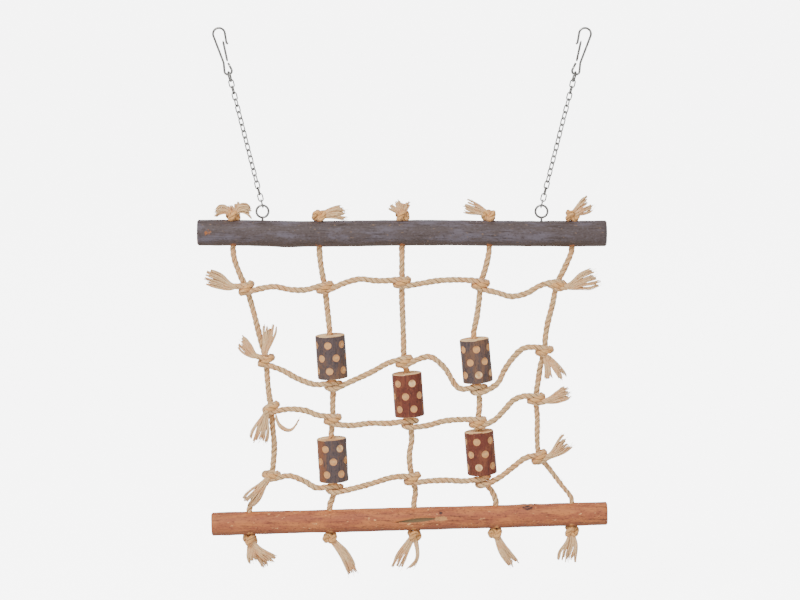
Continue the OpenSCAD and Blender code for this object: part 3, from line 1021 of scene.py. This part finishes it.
@dataclass
class RopeNet:
    """The net: five uprights, four cross ropes, their knots, tails and fuzz.

    A tail is its points and its width. A knot's tails start at the knot's middle.
    """

    lay: float = 12.0
    step: float = 0.7
    sides: int = 18
    strands: int = 3
    groove: float = 0.24
    bury: float = 3.0
    bend: float = 9.0
    fuzz_every: float = 1.1
    top_tails: list = field(default_factory=lambda: [
        [([(-5, -1, 4), (-9, -2, 4), (-12, -2, 1)], 8), ([(5, -1, 5), (9, -2, 5), (12, -2, 2)], 8),
         ([(-1, 0, 4), (-2, -1, 7)], 12)],
        [([(6, -1, 1), (12, -1, 2), (18, -1, 1)], 8), ([(10, 0, 3), (16, 0, 4)], 7)],
        [([(-2, -1, 4), (-6, -1, 8)], 9), ([(1, 0, 5), (2, 0, 9)], 7)],
        [([(-5, -1, 3), (-11, -1, 5), (-16, -1, 7)], 9)],
        [([(5, -1, 4), (10, -1, 7), (13, -1, 9)], 11)],
    ])
    bottom_tails: list = field(default_factory=lambda: [
        [([(5, -2, -6), (11, -3, -10), (16, -3, -13)], 6), ([(4, 2, -8), (8, 2, -14), (10, 2, -19)], 6),
         ([(1, -1, -7), (1, -2, -11), (2, -2, -15)], 7)],
        [([(7, -2, -8), (12, -2, -16), (16, -2, -24)], 8)],
        [([(-5, -2, -8), (-9, -2, -15), (-12, -2, -22)], 7),
         ([(2, -1, -8), (2, -1, -16), (-2, -1, -22)], 2)],
        [([(4, -2, -9), (8, -2, -16), (12, -2, -21)], 8)],
        [([(0, -2, -8), (-2, -2, -15), (-3, -2, -20)], 13)],
    ])
    left_tails: list = field(default_factory=lambda: [
        [([(-113, -4.5, -35), (-121, -5, -31), (-129, -5, -28)], 12)],
        [([(-98, -4.5, -81), (-103, -5, -76), (-107, -5, -71)], 9),
         ([(-90.5, -5, -79), (-89, -5, -72), (-87, -5, -62)], 9)],
        [([(-90.5, -5, -121), (-93, -6, -129), (-95.5, -6, -138)], 12),
         ([(-81, -5, -128), (-74, -6, -131), (-68.5, -6, -124.5)], 1.5)],
        [([(-91, -6, -166), (-97, -6, -173.5), (-102.5, -4, -180)], 10)],
    ])
    right_tails: list = field(default_factory=lambda: [
        [([(112, -4.5, -34.5), (120, -5, -31), (128, -5, -28)], 14)],
        [([(98, -5, -83.5), (102, -6, -88.5), (106, -6, -95)], 6),
         ([(95.5, -5, -84), (96.5, -6, -90), (97, -6, -96)], 5)],
        [([(98.5, -4.5, -111), (105, -5, -108), (111, -5, -105.5)], 10)],
        [([(100, -4.5, -147.5), (106, -5, -142.5), (110.5, -5, -138)], 11)],
    ])

    def build(self) -> None:
        """Build the whole net and its rope ends."""
        self.jute = JUTE.material()
        self.knotted = KNOT_JUTE.material()
        self.frayed = FRAYED_JUTE.material()
        for u in range(len(UPRIGHTS)):
            self.build_upright(u)
            self.build_ends(u)
        for r in range(len(CROSS_SPANS)):
            self.build_cross(r)

    def twist(self, loom: Loom, line: np.ndarray, radii: np.ndarray, phase: float) -> None:
        """Add one laid rope to a mesh.

        Args:
            loom: Where the tube goes.
            line: Points of its middle line, in metres.
            radii: Radius at each point, in metres.
            phase: Turn of the strands at the start, in radians.
        """
        loom.tube(line, radii, self.sides, self.strands, self.lay * MM, self.groove, phase)

    def fuzz(self, line: np.ndarray, name: str, seed: int) -> None:
        """Lay loose hairs along a rope.

        Args:
            line: The rope's middle line, in metres.
            name: Name of the new piece.
            seed: Seed of its randomness.
        """
        rng = random.Random(seed)
        loom = Loom()
        for _ in range(int(length_of(line) / MM / self.fuzz_every)):
            i = rng.randrange(2, len(line) - 3)
            way = unit(line[i + 1] - line[i])
            out = unit(np.cross(way, np.array([rng.gauss(0, 1) for _ in range(3)])))
            root = line[i] + out * (ROPE / 2 - 0.35) * MM
            reach = rng.uniform(1.0, 2.8) * MM
            lean = rng.uniform(-1.2, 1.2)
            bend = unit(np.cross(way, out)) * rng.uniform(-0.6, 0.6)
            mid = root + reach * 0.5 * unit(out * 0.6 + way * lean)
            tip = mid + reach * 0.5 * unit(out * 0.5 + way * lean * 1.5 + bend)
            loom.tube(np.array([root, mid, tip]), np.array([0.07, 0.055, 0.02]) * MM, 3)
        dress(loom.cut(name), self.jute, "net")

    def build_upright(self, u: int) -> None:
        """Build one upright as an upper and a lower length that meet inside a knot.

        Args:
            u: Number of the upright, from the left.
        """
        x, foot_x = UPRIGHT_TOP[u], UPRIGHT_FOOT[u]
        stick_under = BAR_HEIGHT - TOP_RADIUS
        stick_over = bottom_flex(foot_x) - FLEX_GAP
        above = np.array([x, 0, stick_under + self.bury])
        below = np.array([foot_x, 0, stick_over - self.bury])
        line = rounded_route([p * MM for p in [above] + upright_route(u) + [below]], self.step * MM)
        meet = Crossing(1, u).middle * MM
        at = int(np.argmin(np.linalg.norm(line - meet, axis=1)))
        upper, lower = line[: at + 2], line[at - 2:]
        thin = uneven(lower, 30 + u)
        if u == len(UPRIGHTS) - 1:
            thin = thin * (1 - 0.18 * eased(np.linspace(0, 1, len(lower))))
        turned = 2 * math.pi * length_of(line[: at - 1]) / (self.lay * MM)
        ends = []
        for word, part, radii, phase in (
            ("upper", upper, uneven(upper, 30 + u), 0.0), ("lower", lower, thin, turned),
        ):
            loom = Loom()
            self.twist(loom, part, radii, phase)
            ends.append(loom.cut(f"upright_{u + 1}_{word}"))
        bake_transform(ends[0])
        dress(ends[0], self.jute, node=f"rope_{u + 1}")
        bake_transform(ends[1])
        dress(ends[1], self.jute)
        self.fuzz(line[int(14 / self.step): -int(16 / self.step)], f"upright_{u + 1}_fuzz", 40 + u)

    def build_cross(self, r: int) -> None:
        """Build one cross rope with its straps, tails and fuzz.

        Args:
            r: Number of the cross rope, from the top.
        """
        name = f"cross_rope_{r + 1}"
        route = cross_route(r)
        lift = np.array([0, 0, BAR_HEIGHT])
        lead = np.array(self.left_tails[r][0][0][0]) + lift
        trail = np.array(self.right_tails[r][0][0][0]) + lift
        line = rounded_route([p * MM for p in [lead] + route + [trail]], self.step * MM)
        rope, straps, tails = Loom(), Loom(), Loom()
        self.twist(rope, line, uneven(line, 20 + r), 0.7 * r)
        piece = rope.cut(name)
        dress(piece, self.jute, "net", f"cross_{r + 1}")
        for u in range(len(UPRIGHTS)):
            if (r, u) not in SEATED:
                strap = rounded_route([p * MM for p in Crossing(r, u).strap()], self.step * MM)
                straps.tube(strap, ROPE / 2 * MM * 0.94, 16, self.strands, self.lay * MM,
                            self.groove, r + u)
        dress(straps.cut(f"{name}_straps"), self.knotted, "net")
        left = len(self.left_tails[r])
        for n, (points, width) in enumerate(self.left_tails[r] + self.right_tails[r]):
            spots = [np.array(p) + lift for p in points]
            near = route[0] if n < left else route[-1]
            start = near + 0.55 * (spots[0] - near)
            FrayedEnd([start] + spots, width, 30 + int(12 * width), 100 + 10 * r + n, 1.5).weave(tails)
        dress(tails.cut(f"{name}_tails"), self.frayed, "net")
        self.fuzz(line, f"{name}_fuzz", 60 + r)

    def build_ends(self, u: int) -> None:
        """Build the stopper knots above the top stick and below the bottom stick.

        Args:
            u: Number of the upright, from the left.
        """
        foot_x = UPRIGHT_FOOT[u]
        axis = bottom_flex(foot_x) - (BOTTOM_RADIUS + FLEX_GAP) / math.cos(TILT)
        over = np.array((UPRIGHT_TOP[u], 0, BAR_HEIGHT + TOP_RADIUS + 3.2))
        under = np.array((foot_x, 0, axis - BOTTOM_RADIUS - 3.4))
        for word, middle, tails, seed in (
            ("top", over, self.top_tails[u], 3 + u), ("bottom", under, self.bottom_tails[u], 13 + u),
        ):
            knot = StopperKnot(middle, tails, seed, 0.9 * u)
            loom, tuft = Loom(), Loom()
            knot.weave(loom)
            knot.fray(tuft)
            name, body = f"{word}_knot_{u + 1}", f"{word}_stick"
            dress(loom.cut(name), self.knotted, body, f"{word}_end_{u + 1}")
            dress(tuft.cut(f"{name}_fray"), self.frayed, body)


# ---------------------------------------------------------------- sticks and blocks


@dataclass
class BarkStick:
    """A bark-covered stick along X, with sawn ends and torn bark at its rope holes.

    Holes, the split's middle and half length, and the knot are measured along the stick.
    """

    name: str
    node: str
    body: str
    slot: str
    length: float
    radius: float
    middle: tuple
    holes: list
    finish: StickFinish
    tilt: float = 0.0
    split: tuple | None = None
    knot_at: float | None = None
    sides: int = 72
    cuts: int = 99
    crease: float = math.radians(50)

    def build(self) -> None:
        """Build the stick."""
        clear_selection()
        bpy.ops.mesh.primitive_cylinder_add(
            vertices=self.sides, radius=self.radius * MM, depth=self.length * MM,
            rotation=(0, math.pi / 2, 0))
        stick = bpy.context.object
        stick.name = self.name
        stick.data.name = self.name
        settle(stick)
        self.shape_ends(stick)
        self.add_rings(stick)
        self.relief(stick)
        if self.finish.kind is Bark.SLATE:
            self.bend(stick)
        self.mark(stick)
        stick.matrix_world = (Matrix.Translation(Vector(self.middle) * MM)
                              @ Matrix.Rotation(-self.tilt, 4, "Y"))
        settle(stick)
        bpy.ops.object.shade_smooth_by_angle(angle=self.crease)
        dress(stick, self.finish.material(), self.body, self.node)

    def shape_ends(self, stick: bpy.types.Object) -> None:
        """Bevel the sawn ends and fill them with rings of faces.

        Args:
            stick: The plain cylinder.
        """
        select_ends(stick, axis=0)
        for width in (0.9, 0.25, 3.0):
            bpy.ops.mesh.inset(thickness=width * MM, depth=0.0)
        bpy.ops.mesh.poke()
        bpy.ops.object.mode_set(mode="OBJECT")
        half = self.length * MM / 2
        for v in stick.data.vertices:
            out = math.hypot(v.co.y, v.co.z) / (self.radius * MM)
            if abs(v.co.x) > half - 1e-6 and out > 0.99:
                v.co.x -= math.copysign(0.8 * MM, v.co.x)

    def add_rings(self, stick: bpy.types.Object) -> None:
        """Cut the stick's long faces into short ones.

        Args:
            stick: The stick, still with long faces.
        """
        select_nothing("EDGE")
        v = stick.data.vertices
        for edge in stick.data.edges:
            a, b = (v[i].co for i in edge.vertices)
            edge.select = abs(a.x - b.x) > self.length * MM / 2
        bpy.ops.object.mode_set(mode="EDIT")
        bpy.ops.mesh.subdivide(number_cuts=self.cuts)
        bpy.ops.mesh.select_all(action="SELECT")
        bpy.ops.mesh.normals_make_consistent(inside=False)
        bpy.ops.object.mode_set(mode="OBJECT")

    def relief(self, stick: bpy.types.Object) -> None:
        """Raise bark relief with two Displace modifiers.

        Args:
            stick: The stick with short faces.
        """
        for n, (size, strength) in enumerate(((0.05, 1.0), (0.009, 0.45))):
            texture = bpy.data.textures.new(f"{self.name}_relief_{n}", "CLOUDS")
            texture.noise_scale = size
            texture.noise_depth = 2
            lump = stick.modifiers.new(f"relief_{n}", "DISPLACE")
            lump.texture = texture
            lump.strength = strength * MM
            lump.mid_level = 0.5
            lump.texture_coords = "LOCAL"
            pick(stick)
            bpy.ops.object.modifier_apply(modifier=lump.name)

    def bend(self, stick: bpy.types.Object) -> None:
        """Wave a stick a little up and down, with a lump under its left part.

        Args:
            stick: The stick with bark relief.
        """
        for v in stick.data.vertices:
            v.co.z += 0.35 * MM * math.sin(v.co.x / 0.026 + 0.7)
            near = (v.co.x + 0.075) / 0.012
            v.co.z -= 0.8 * MM * math.exp(-near * near) * (v.co.z < 0)

    def torn_round_holes(self, co: np.ndarray) -> np.ndarray:
        """Find where the bark is torn by the rope holes.

        Args:
            co: The stick's points.

        Returns:
            How torn each point is.
        """
        torn = np.zeros(len(co))
        for x in self.holes:
            dx = (co[:, 0] - x * MM) / (3.6 * MM)
            rim = (co[:, 2] != 0) * bell(dx, co[:, 1] / (3.0 * MM)) * 0.72
            lip = (co[:, 2] < 0) * bell(dx, (co[:, 1] + 4.0 * MM) / (3.2 * MM)) * 0.6
            torn = np.maximum(torn, np.maximum(rim, lip))
        return torn

    def open_split(self, co: np.ndarray) -> tuple[np.ndarray, np.ndarray]:
        """Sink the split in the front, and tear the bark past its right tip.

        Args:
            co: The stick's points, which are moved.

        Returns:
            How split and how torn each point is.
        """
        middle, half = self.split
        dx = (co[:, 0] - middle * MM) / (half * MM)
        wide = 1.7 * MM * np.clip(1 - dx * dx, 0.0, 1)
        dz = (co[:, 2] - 0.3 * MM - 0.9 * MM * dx) / np.maximum(wide, 0.15 * MM)
        split = (co[:, 1] < 0) * (np.abs(dx) < 1) * bell(dz)
        co[:, 1:] *= (1 - 0.17 * split)[:, None]
        past = (co[:, 0] - (middle + half * 1.15) * MM) / (5 * MM)
        return split, (co[:, 1] < 0) * bell(past, (co[:, 2] - 1.0 * MM) / (1.8 * MM)) * 0.9

    def sink_knot(self, co: np.ndarray) -> np.ndarray:
        """Sink the healed knot in the top, inside a raised ring.

        Args:
            co: The stick's points, which are moved.

        Returns:
            How knotty each point is.
        """
        dx = (co[:, 0] - self.knot_at * MM) / (2.6 * MM)
        dy = (co[:, 1] + 1.0 * MM) / (2.6 * MM)
        hole = (co[:, 2] > 0) * bell(dx, dy)
        ring = (co[:, 2] > 0) * np.exp(-((np.sqrt(dx * dx + dy * dy) - 1.7) ** 2) * 5)
        co[:, 2] += (0.6 * ring - 1.6 * hole) * MM
        return np.maximum(hole, 0.8 * ring)

    def mark(self, stick: bpy.types.Object) -> None:
        """Write where the bark is torn, split, knotty or in shade, and sink the split and the knot.

        Args:
            stick: The stick, still along X at the origin.
        """
        mesh = stick.data
        co = read_points(mesh)
        out = np.hypot(co[:, 1], co[:, 2])
        r = self.radius * MM
        sawn = (np.abs(co[:, 0]) > self.length * MM / 2 - 0.5 * MM) & (out < r - 1.0 * MM)
        torn = np.maximum(sawn * 1.2, self.torn_round_holes(co))
        split = np.zeros(len(co))
        knot = np.zeros(len(co))
        if self.finish.kind is Bark.SLATE:
            scar = bell((co[:, 0] + 128 * MM) / (5 * MM), (co[:, 2] - 1.5 * MM) / (3.5 * MM))
            torn = np.maximum(torn, (co[:, 1] < 0) * scar * 0.52)
        if self.split:
            split, tip = self.open_split(co)
            torn = np.maximum(torn, tip)
        if self.knot_at is not None:
            knot = self.sink_knot(co)
        if self.split:
            stain = bell((co[:, 0] - 21 * MM) / (1.6 * MM), (co[:, 2] - 4.6 * MM) / (1.2 * MM))
            knot = np.maximum(knot, (co[:, 1] < 0) * stain)
        mesh.vertices.foreach_set("co", co.ravel())
        # Painted shade: the lower side, away from the sawn ends, is marked to be darkened.
        under = eased((-co[:, 2] / r - 0.35) / 0.55) * (1 - sawn)
        for name, values in (("torn", torn), ("split", split), ("out", out), ("under", under),
                             ("knot", knot)):
            write_layer(mesh, name, values)
        mesh.update()


@dataclass
class DrilledBlocks:
    """Five round blocks with drilled spots, carved once and copied."""

    length: float = 29.0
    radius: float = 10.0
    bore: float = 2.5
    spot: float = 2.5
    sink: float = 0.6
    dimple: float = 1.0
    rows: int = 3
    per_row: int = 6
    row_pitch: float = 8.6
    over_knot: float = 2.5
    first_turn: float = 0.35
    next_turn: float = 1.3
    rubbed: int = 3
    rubbed_side: float = math.radians(-150)
    crease: float = math.radians(38)

    def build(self) -> None:
        """Build the pattern block and place its five copies."""
        pattern = self.carve()
        finishes = {False: SLATE_BLOCK.material(), True: RUSSET_BLOCK.material()}
        for b, (u, i, russet) in enumerate(BLOCKS):
            seat = upright_point(u, i)
            way = unit(upright_point(u, i - 1) - seat)
            foot = seat + way * (KNOT_PITCH / 2 + self.over_knot)
            pick(pattern)
            bpy.ops.object.duplicate(linked=False)
            block = bpy.context.object
            block.name = f"drilled_block_{b + 1}"
            block.data.name = block.name
            angle = self.first_turn + self.next_turn * b
            self.wear(block, b)
            self.mark(block, self.rubbed_side - angle if b == self.rubbed else None)
            turn = Matrix.Rotation(math.atan2(way[0], way[2]), 4, "Y")
            spin = Matrix.Rotation(angle, 4, "Z")
            block.matrix_world = Matrix.Translation(Vector(foot) * MM) @ turn @ spin
            settle(block)
            bpy.ops.object.shade_smooth_by_angle(angle=self.crease)
            dress(block, finishes[russet],
                  f"block_{b + 1}_body", f"block_{b + 1}")
        bpy.data.objects.remove(pattern)

    def carve(self) -> bpy.types.Object:
        """Carve one block from a cylinder.

        Returns:
            The block, standing on the origin.
        """
        clear_selection()
        bpy.ops.mesh.primitive_cylinder_add(
            vertices=96, radius=self.radius * MM, depth=self.length * MM,
            location=(0, 0, self.length / 2 * MM))
        block = bpy.context.object
        settle(block)
        select_ends(block, axis=2)
        bpy.ops.mesh.bevel(offset=0.7 * MM, segments=3, affect="EDGES")
        bpy.ops.object.mode_set(mode="OBJECT")
        drills = self.drills()
        pick(block)
        cut = block.modifiers.new("drilled", "BOOLEAN")
        cut.operation = "DIFFERENCE"
        cut.object = drills
        cut.solver = "EXACT"
        bpy.ops.object.modifier_apply(modifier=cut.name)
        bpy.data.objects.remove(drills)
        return block

    def drills(self) -> bpy.types.Object:
        """Build what is cut out of a block: its spots, their dimples and its bore.

        Returns:
            The shapes, joined into one object.
        """
        floor = self.radius - self.sink
        spot = {"vertices": 28, "radius": self.spot * MM, "depth": 2.0 * MM}
        dimple = {"vertices": 20, "radius1": 0.0, "radius2": self.dimple * MM, "depth": 1.0 * MM}
        made = []
        for row in range(self.rows):
            z = self.length / 2 + (row - 1) * self.row_pitch
            for k in range(self.per_row):
                w = (k + row / 2) * 2 * math.pi / self.per_row
                for add, shape, reach in (
                    (bpy.ops.mesh.primitive_cylinder_add, spot, floor + 1.0),
                    (bpy.ops.mesh.primitive_cone_add, dimple, floor),
                ):
                    clear_selection()
                    add(location=(reach * math.cos(w) * MM, reach * math.sin(w) * MM, z * MM),
                        rotation=(0, math.pi / 2, w), **shape)
                    made.append(bpy.context.object)
        clear_selection()
        bpy.ops.mesh.primitive_cylinder_add(
            vertices=40, radius=self.bore * MM, depth=(self.length + 4) * MM,
            location=(0, 0, self.length / 2 * MM))
        made.append(bpy.context.object)
        for shape in made:
            shape.select_set(True)
        bpy.context.view_layer.objects.active = made[0]
        bpy.ops.object.join()
        joined = bpy.context.object
        settle(joined)
        return joined

    def wear(self, block: bpy.types.Object, seed: int) -> None:
        """Make a copy a little uneven, so that no two are alike.

        Args:
            block: The copy.
            seed: Number of the copy.
        """
        rng = random.Random(90 + seed)
        a, b = rng.uniform(0, ANY_PHASE), rng.uniform(0, ANY_PHASE)
        for v in block.data.vertices:
            w = math.atan2(v.co.y, v.co.x)
            swell = 1 - 0.012 + 0.008 * math.sin(2 * w + a) + 0.006 * math.sin(v.co.z / 0.006 + b)
            v.co.x *= swell
            v.co.y *= swell

    def mark(self, block: bpy.types.Object, rubbed_side: float | None) -> None:
        """Write where the block's wood is bare, where it is sunken and gets painted shade, and where
        its stain is rubbed.

        Args:
            block: A copy that still stands on the origin.
            rubbed_side: Angle of the rubbed side, or None for a block without one.
        """
        mesh = block.data
        co = read_points(mesh)
        bare, sunken = [], []
        for face in mesh.polygons:
            c = face.center
            r = math.hypot(c.x, c.y)
            side = face.normal.x * c.x + face.normal.y * c.y
            outer = r > 5 * MM
            floor = outer and side > 0 and r < (self.radius - 0.32) * MM
            wall = outer and side / r < 0.5
            bare.append(abs(face.normal.z) > 0.75 or floor or wall or r < 4 * MM)
            # Spot walls and dimples are marked for painted shade.
            sunken.append(wall or outer and r < (self.radius - self.sink - 0.05) * MM)
        rubbed = np.zeros(len(co))
        if rubbed_side is not None:
            gap = np.arctan2(co[:, 1], co[:, 0]) - rubbed_side
            rubbed = bell(np.arctan2(np.sin(gap), np.cos(gap)) / 0.75)
        write_layer(mesh, "bare", bare, "FACE")
        write_layer(mesh, "sunken", sunken, "FACE")
        write_layer(mesh, "out", np.hypot(co[:, 0], co[:, 1]))
        write_layer(mesh, "rubbed", rubbed)


# ---------------------------------------------------------------- wire


@dataclass
class WireHooks:
    """Two snap hooks of bent wire, each with a sprung tongue."""

    spacing: float = 241.4
    lean: float = math.radians(13.8964)
    wire: float = 1.5
    loop: float = 4.2
    foot: float = 2.5
    length: float = 30.4
    pivot_rise: float = 8.5
    sides: int = 18

    def pivot(self) -> np.ndarray:
        """Return the tongue's pivot as x and z on the hook's own axis, in millimetres."""
        return np.array([-1.0, self.pivot_rise - self.length])

    def corners(self) -> list[tuple[float, float, float]]:
        """Lay out the right hook's wire on its own axis.

        Returns:
            The x, z and bend radius of each corner, in millimetres.
        """
        r = self.wire / 2
        nose = (-self.loop + 0.8, -10.0)
        pivot = self.pivot()
        corner = np.array([-self.foot - 0.4, -self.length])
        root = pivot + unit(corner - pivot) * (r + 0.3)
        return [
            (nose[0] - 0.9, nose[1] - 0.9, 0), (nose[0], nose[1], 1.2),
            (-self.loop - 0.1, r, self.loop * 0.92), (self.loop + 0.1, r, self.loop * 0.92),
            (1.6, pivot[1] - 0.4, 2.0), (-corner[0], corner[1], self.foot * 0.9),
            (corner[0], corner[1], self.foot * 0.9), (root[0], root[1], 0),
        ]

    def middle_line(self) -> np.ndarray:
        """Round the wire's corners off.

        Returns:
            Points of the right hook's middle line on its own axis, in millimetres.
        """
        corners = self.corners()
        out = [np.array(corners[0][:2])]
        for i in range(1, len(corners) - 1):
            before, p, after = (np.array(c[:2]) for c in corners[i - 1:i + 2])
            bend = corners[i][2]
            a, b = unit(p - before), unit(after - p)
            turn = math.atan2(a[0] * b[1] - a[1] * b[0], a @ b)
            start = p - a * bend * math.tan(abs(turn) / 2)
            inward = math.copysign(1, turn) * np.array([-a[1], a[0]])
            steps = max(2, int(abs(turn) / 0.12))
            for k in range(steps + 1):
                w = abs(turn) * k / steps
                out.append(start + inward * bend * (1 - math.cos(w)) + a * bend * math.sin(w))
        out.append(np.array(corners[-1][:2]))
        return np.array([(x, 0.0, z) for x, z in out])

    def placed(self, line: np.ndarray, side: int) -> np.ndarray:
        """Return a line moved from a hook's own axis to its place.

        Args:
            line: Points on the right hook's own axis, in millimetres.
            side: 1 for the right hook, -1 for the left.

        Returns:
            The points in metres.
        """
        c, s = math.cos(self.lean), math.sin(self.lean)
        x = line[:, 0] * c + line[:, 2] * s + self.spacing / 2
        z = -line[:, 0] * s + line[:, 2] * c
        return np.stack([side * x, line[:, 1], z], axis=1) * MM

    def build(self, material: bpy.types.Material) -> None:
        """Build both hooks and their tongues.

        Args:
            material: The plated finish.
        """
        r = self.wire / 2
        bent = self.middle_line()
        x, z = self.pivot()
        straight = np.linspace([x, 0, z], [-1.5, 0, -8.0], 18)
        tapered = np.full(len(straight), r)
        tapered[[0, 1, -2, -1]] = [0.55 * r, 0.9 * r, 0.85 * r, 0.4 * r]
        for side, word in ((-1, "left"), (1, "right")):
            for name, line, radii, body, node in (
                (f"snap_hook_{word}", bent, r, "hooks", f"hook_{word}"),
                (f"hook_tongue_{word}", straight, tapered, f"tongue_{word}_body",
                 f"tongue_{word}"),
            ):
                loom = Loom()
                loom.tube(self.placed(line, side), radii * MM, self.sides)
                dress(loom.cut(name), material, body, node)


@dataclass
class PlatedWire:
    """The rings, chain links and screw eyes, which keep their machined shapes."""

    nodes: tuple = ("ring_left", "ring_right", "chain_left", "chain_right", "eye_left", "eye_right")

    def dress(self, material: bpy.types.Material) -> None:
        """Give each of them the plated finish.

        Args:
            material: The finish.
        """
        for name in self.nodes:
            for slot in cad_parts[name].material_slots:
                slot.material = material


# ---------------------------------------------------------------- studio


@dataclass(frozen=True)
class Lamp:
    """One square soft light: where it is, its width in metres and its power in watts."""

    name: str
    place: tuple
    size: float
    power: float


LAMPS = [
    Lamp("key_light", (-0.7, -1.1, 1.1), size=0.45, power=30.0),
    Lamp("fill_light", (1.2, -1.1, 0.3), size=1.4, power=4.0),
    Lamp("back_light", (0.3, 1.3, 1.0), size=1.4, power=6.0),
]


@dataclass
class Studio:
    """Pale floor and sky, soft lights and the camera."""

    floor: float = -0.40
    target: tuple = (-0.0013, 0.0, -0.179)
    distance: float = 2.4
    elevation: float = math.radians(8.0)
    lens: float = 163.2
    sky: float = 0.62
    seen_glow: float = 6.0

    def build(self) -> None:
        """Build the floor, the lights and the camera."""
        self.ground()
        self.lights()
        self.camera()

    def glow(self, s: Shades) -> bpy.types.NodeSocket:
        """Return a strength that only the camera sees, for a white background."""
        return s.times(s.add("ShaderNodeLightPath").outputs["Is Camera Ray"], self.seen_glow)

    def aim(self, piece: bpy.types.Object) -> None:
        """Turn a lamp or the camera towards the net's middle."""
        way = Vector(self.target) - piece.location
        piece.rotation_euler = way.to_track_quat("-Z", "Y").to_euler()

    def ground(self) -> None:
        """Build the floor."""
        clear_selection()
        bpy.ops.mesh.primitive_plane_add(size=12, location=(0, 0, self.floor))
        floor = bpy.context.object
        floor.name = "pale_floor"
        settle(floor)
        s = Coat("pale_backdrop")
        tone = s.mix(s.noise(s.at, scale=3.0), (0.93, 0.93, 0.93, 1), (0.9, 0.9, 0.9, 1))
        floor.data.materials.append(s.finish({
            "Base Color": tone, "Roughness": 0.9, "Specular IOR Level": 0.1,
            "Emission Color": (1, 1, 1, 1), "Emission Strength": self.glow(s)}))
        floor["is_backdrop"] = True

    def lights(self) -> None:
        """Set soft lights round the net, and a pale sky."""
        for wanted in LAMPS:
            clear_selection()
            bpy.ops.object.light_add(type="AREA", location=wanted.place)
            lamp = bpy.context.object
            lamp.name = wanted.name
            lamp.data.size = wanted.size
            lamp.data.energy = wanted.power
            self.aim(lamp)
        world = bpy.data.worlds.new("pale_sky")
        world.use_nodes = True
        s = Shades(world.node_tree)
        s.join(world.node_tree.nodes["Background"], {
            "Color": (1, 1, 1, 1), "Strength": s.plus(self.sky, self.glow(s))})
        bpy.context.scene.world = world

    def camera(self) -> None:
        """Set the camera in front of the net, a little above its middle."""
        clear_selection()
        back = Vector((0, -math.cos(self.elevation), math.sin(self.elevation)))
        bpy.ops.object.camera_add(location=Vector(self.target) + self.distance * back)
        camera = bpy.context.object
        camera.data.lens = self.lens
        camera.data.sensor_width = 36.0
        camera.data.clip_end = 50.0
        self.aim(camera)
        bpy.context.scene.camera = camera


def main() -> None:
    """Build the sub-assemblies in order."""
    logging.basicConfig(level=logging.INFO, format="%(name)s: %(message)s")
    Studio().build()
    plated = PLATED.material()
    WireHooks().build(plated)
    PlatedWire().dress(plated)
    BarkStick(
        "top_stick_bark", node="top_bar", body="top_stick", slot="dark_bark", length=270.0,
        radius=TOP_RADIUS, middle=(0, 0, BAR_HEIGHT), holes=UPRIGHT_TOP, finish=SLATE_STICK).build()
    BarkStick(
        "bottom_stick_bark", node="bottom_bar", body="bottom_stick", slot="red_bark", length=264.0,
        radius=BOTTOM_RADIUS, middle=(BOTTOM_MIDDLE, 0, BAR_HEIGHT - BAR_SPACING), tilt=TILT,
        holes=[x - BOTTOM_MIDDLE for x in UPRIGHT_FOOT], finish=RUSSET_STICK,
        split=(5.5, 13.5), knot_at=79.0).build()
    DrilledBlocks().build()
    RopeNet().build()
    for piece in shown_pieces():
        LOG.info("%s: %d faces", piece.name, len(piece.data.polygons) if piece.type == "MESH" else 0)


if __name__ == "__main__":
    main()
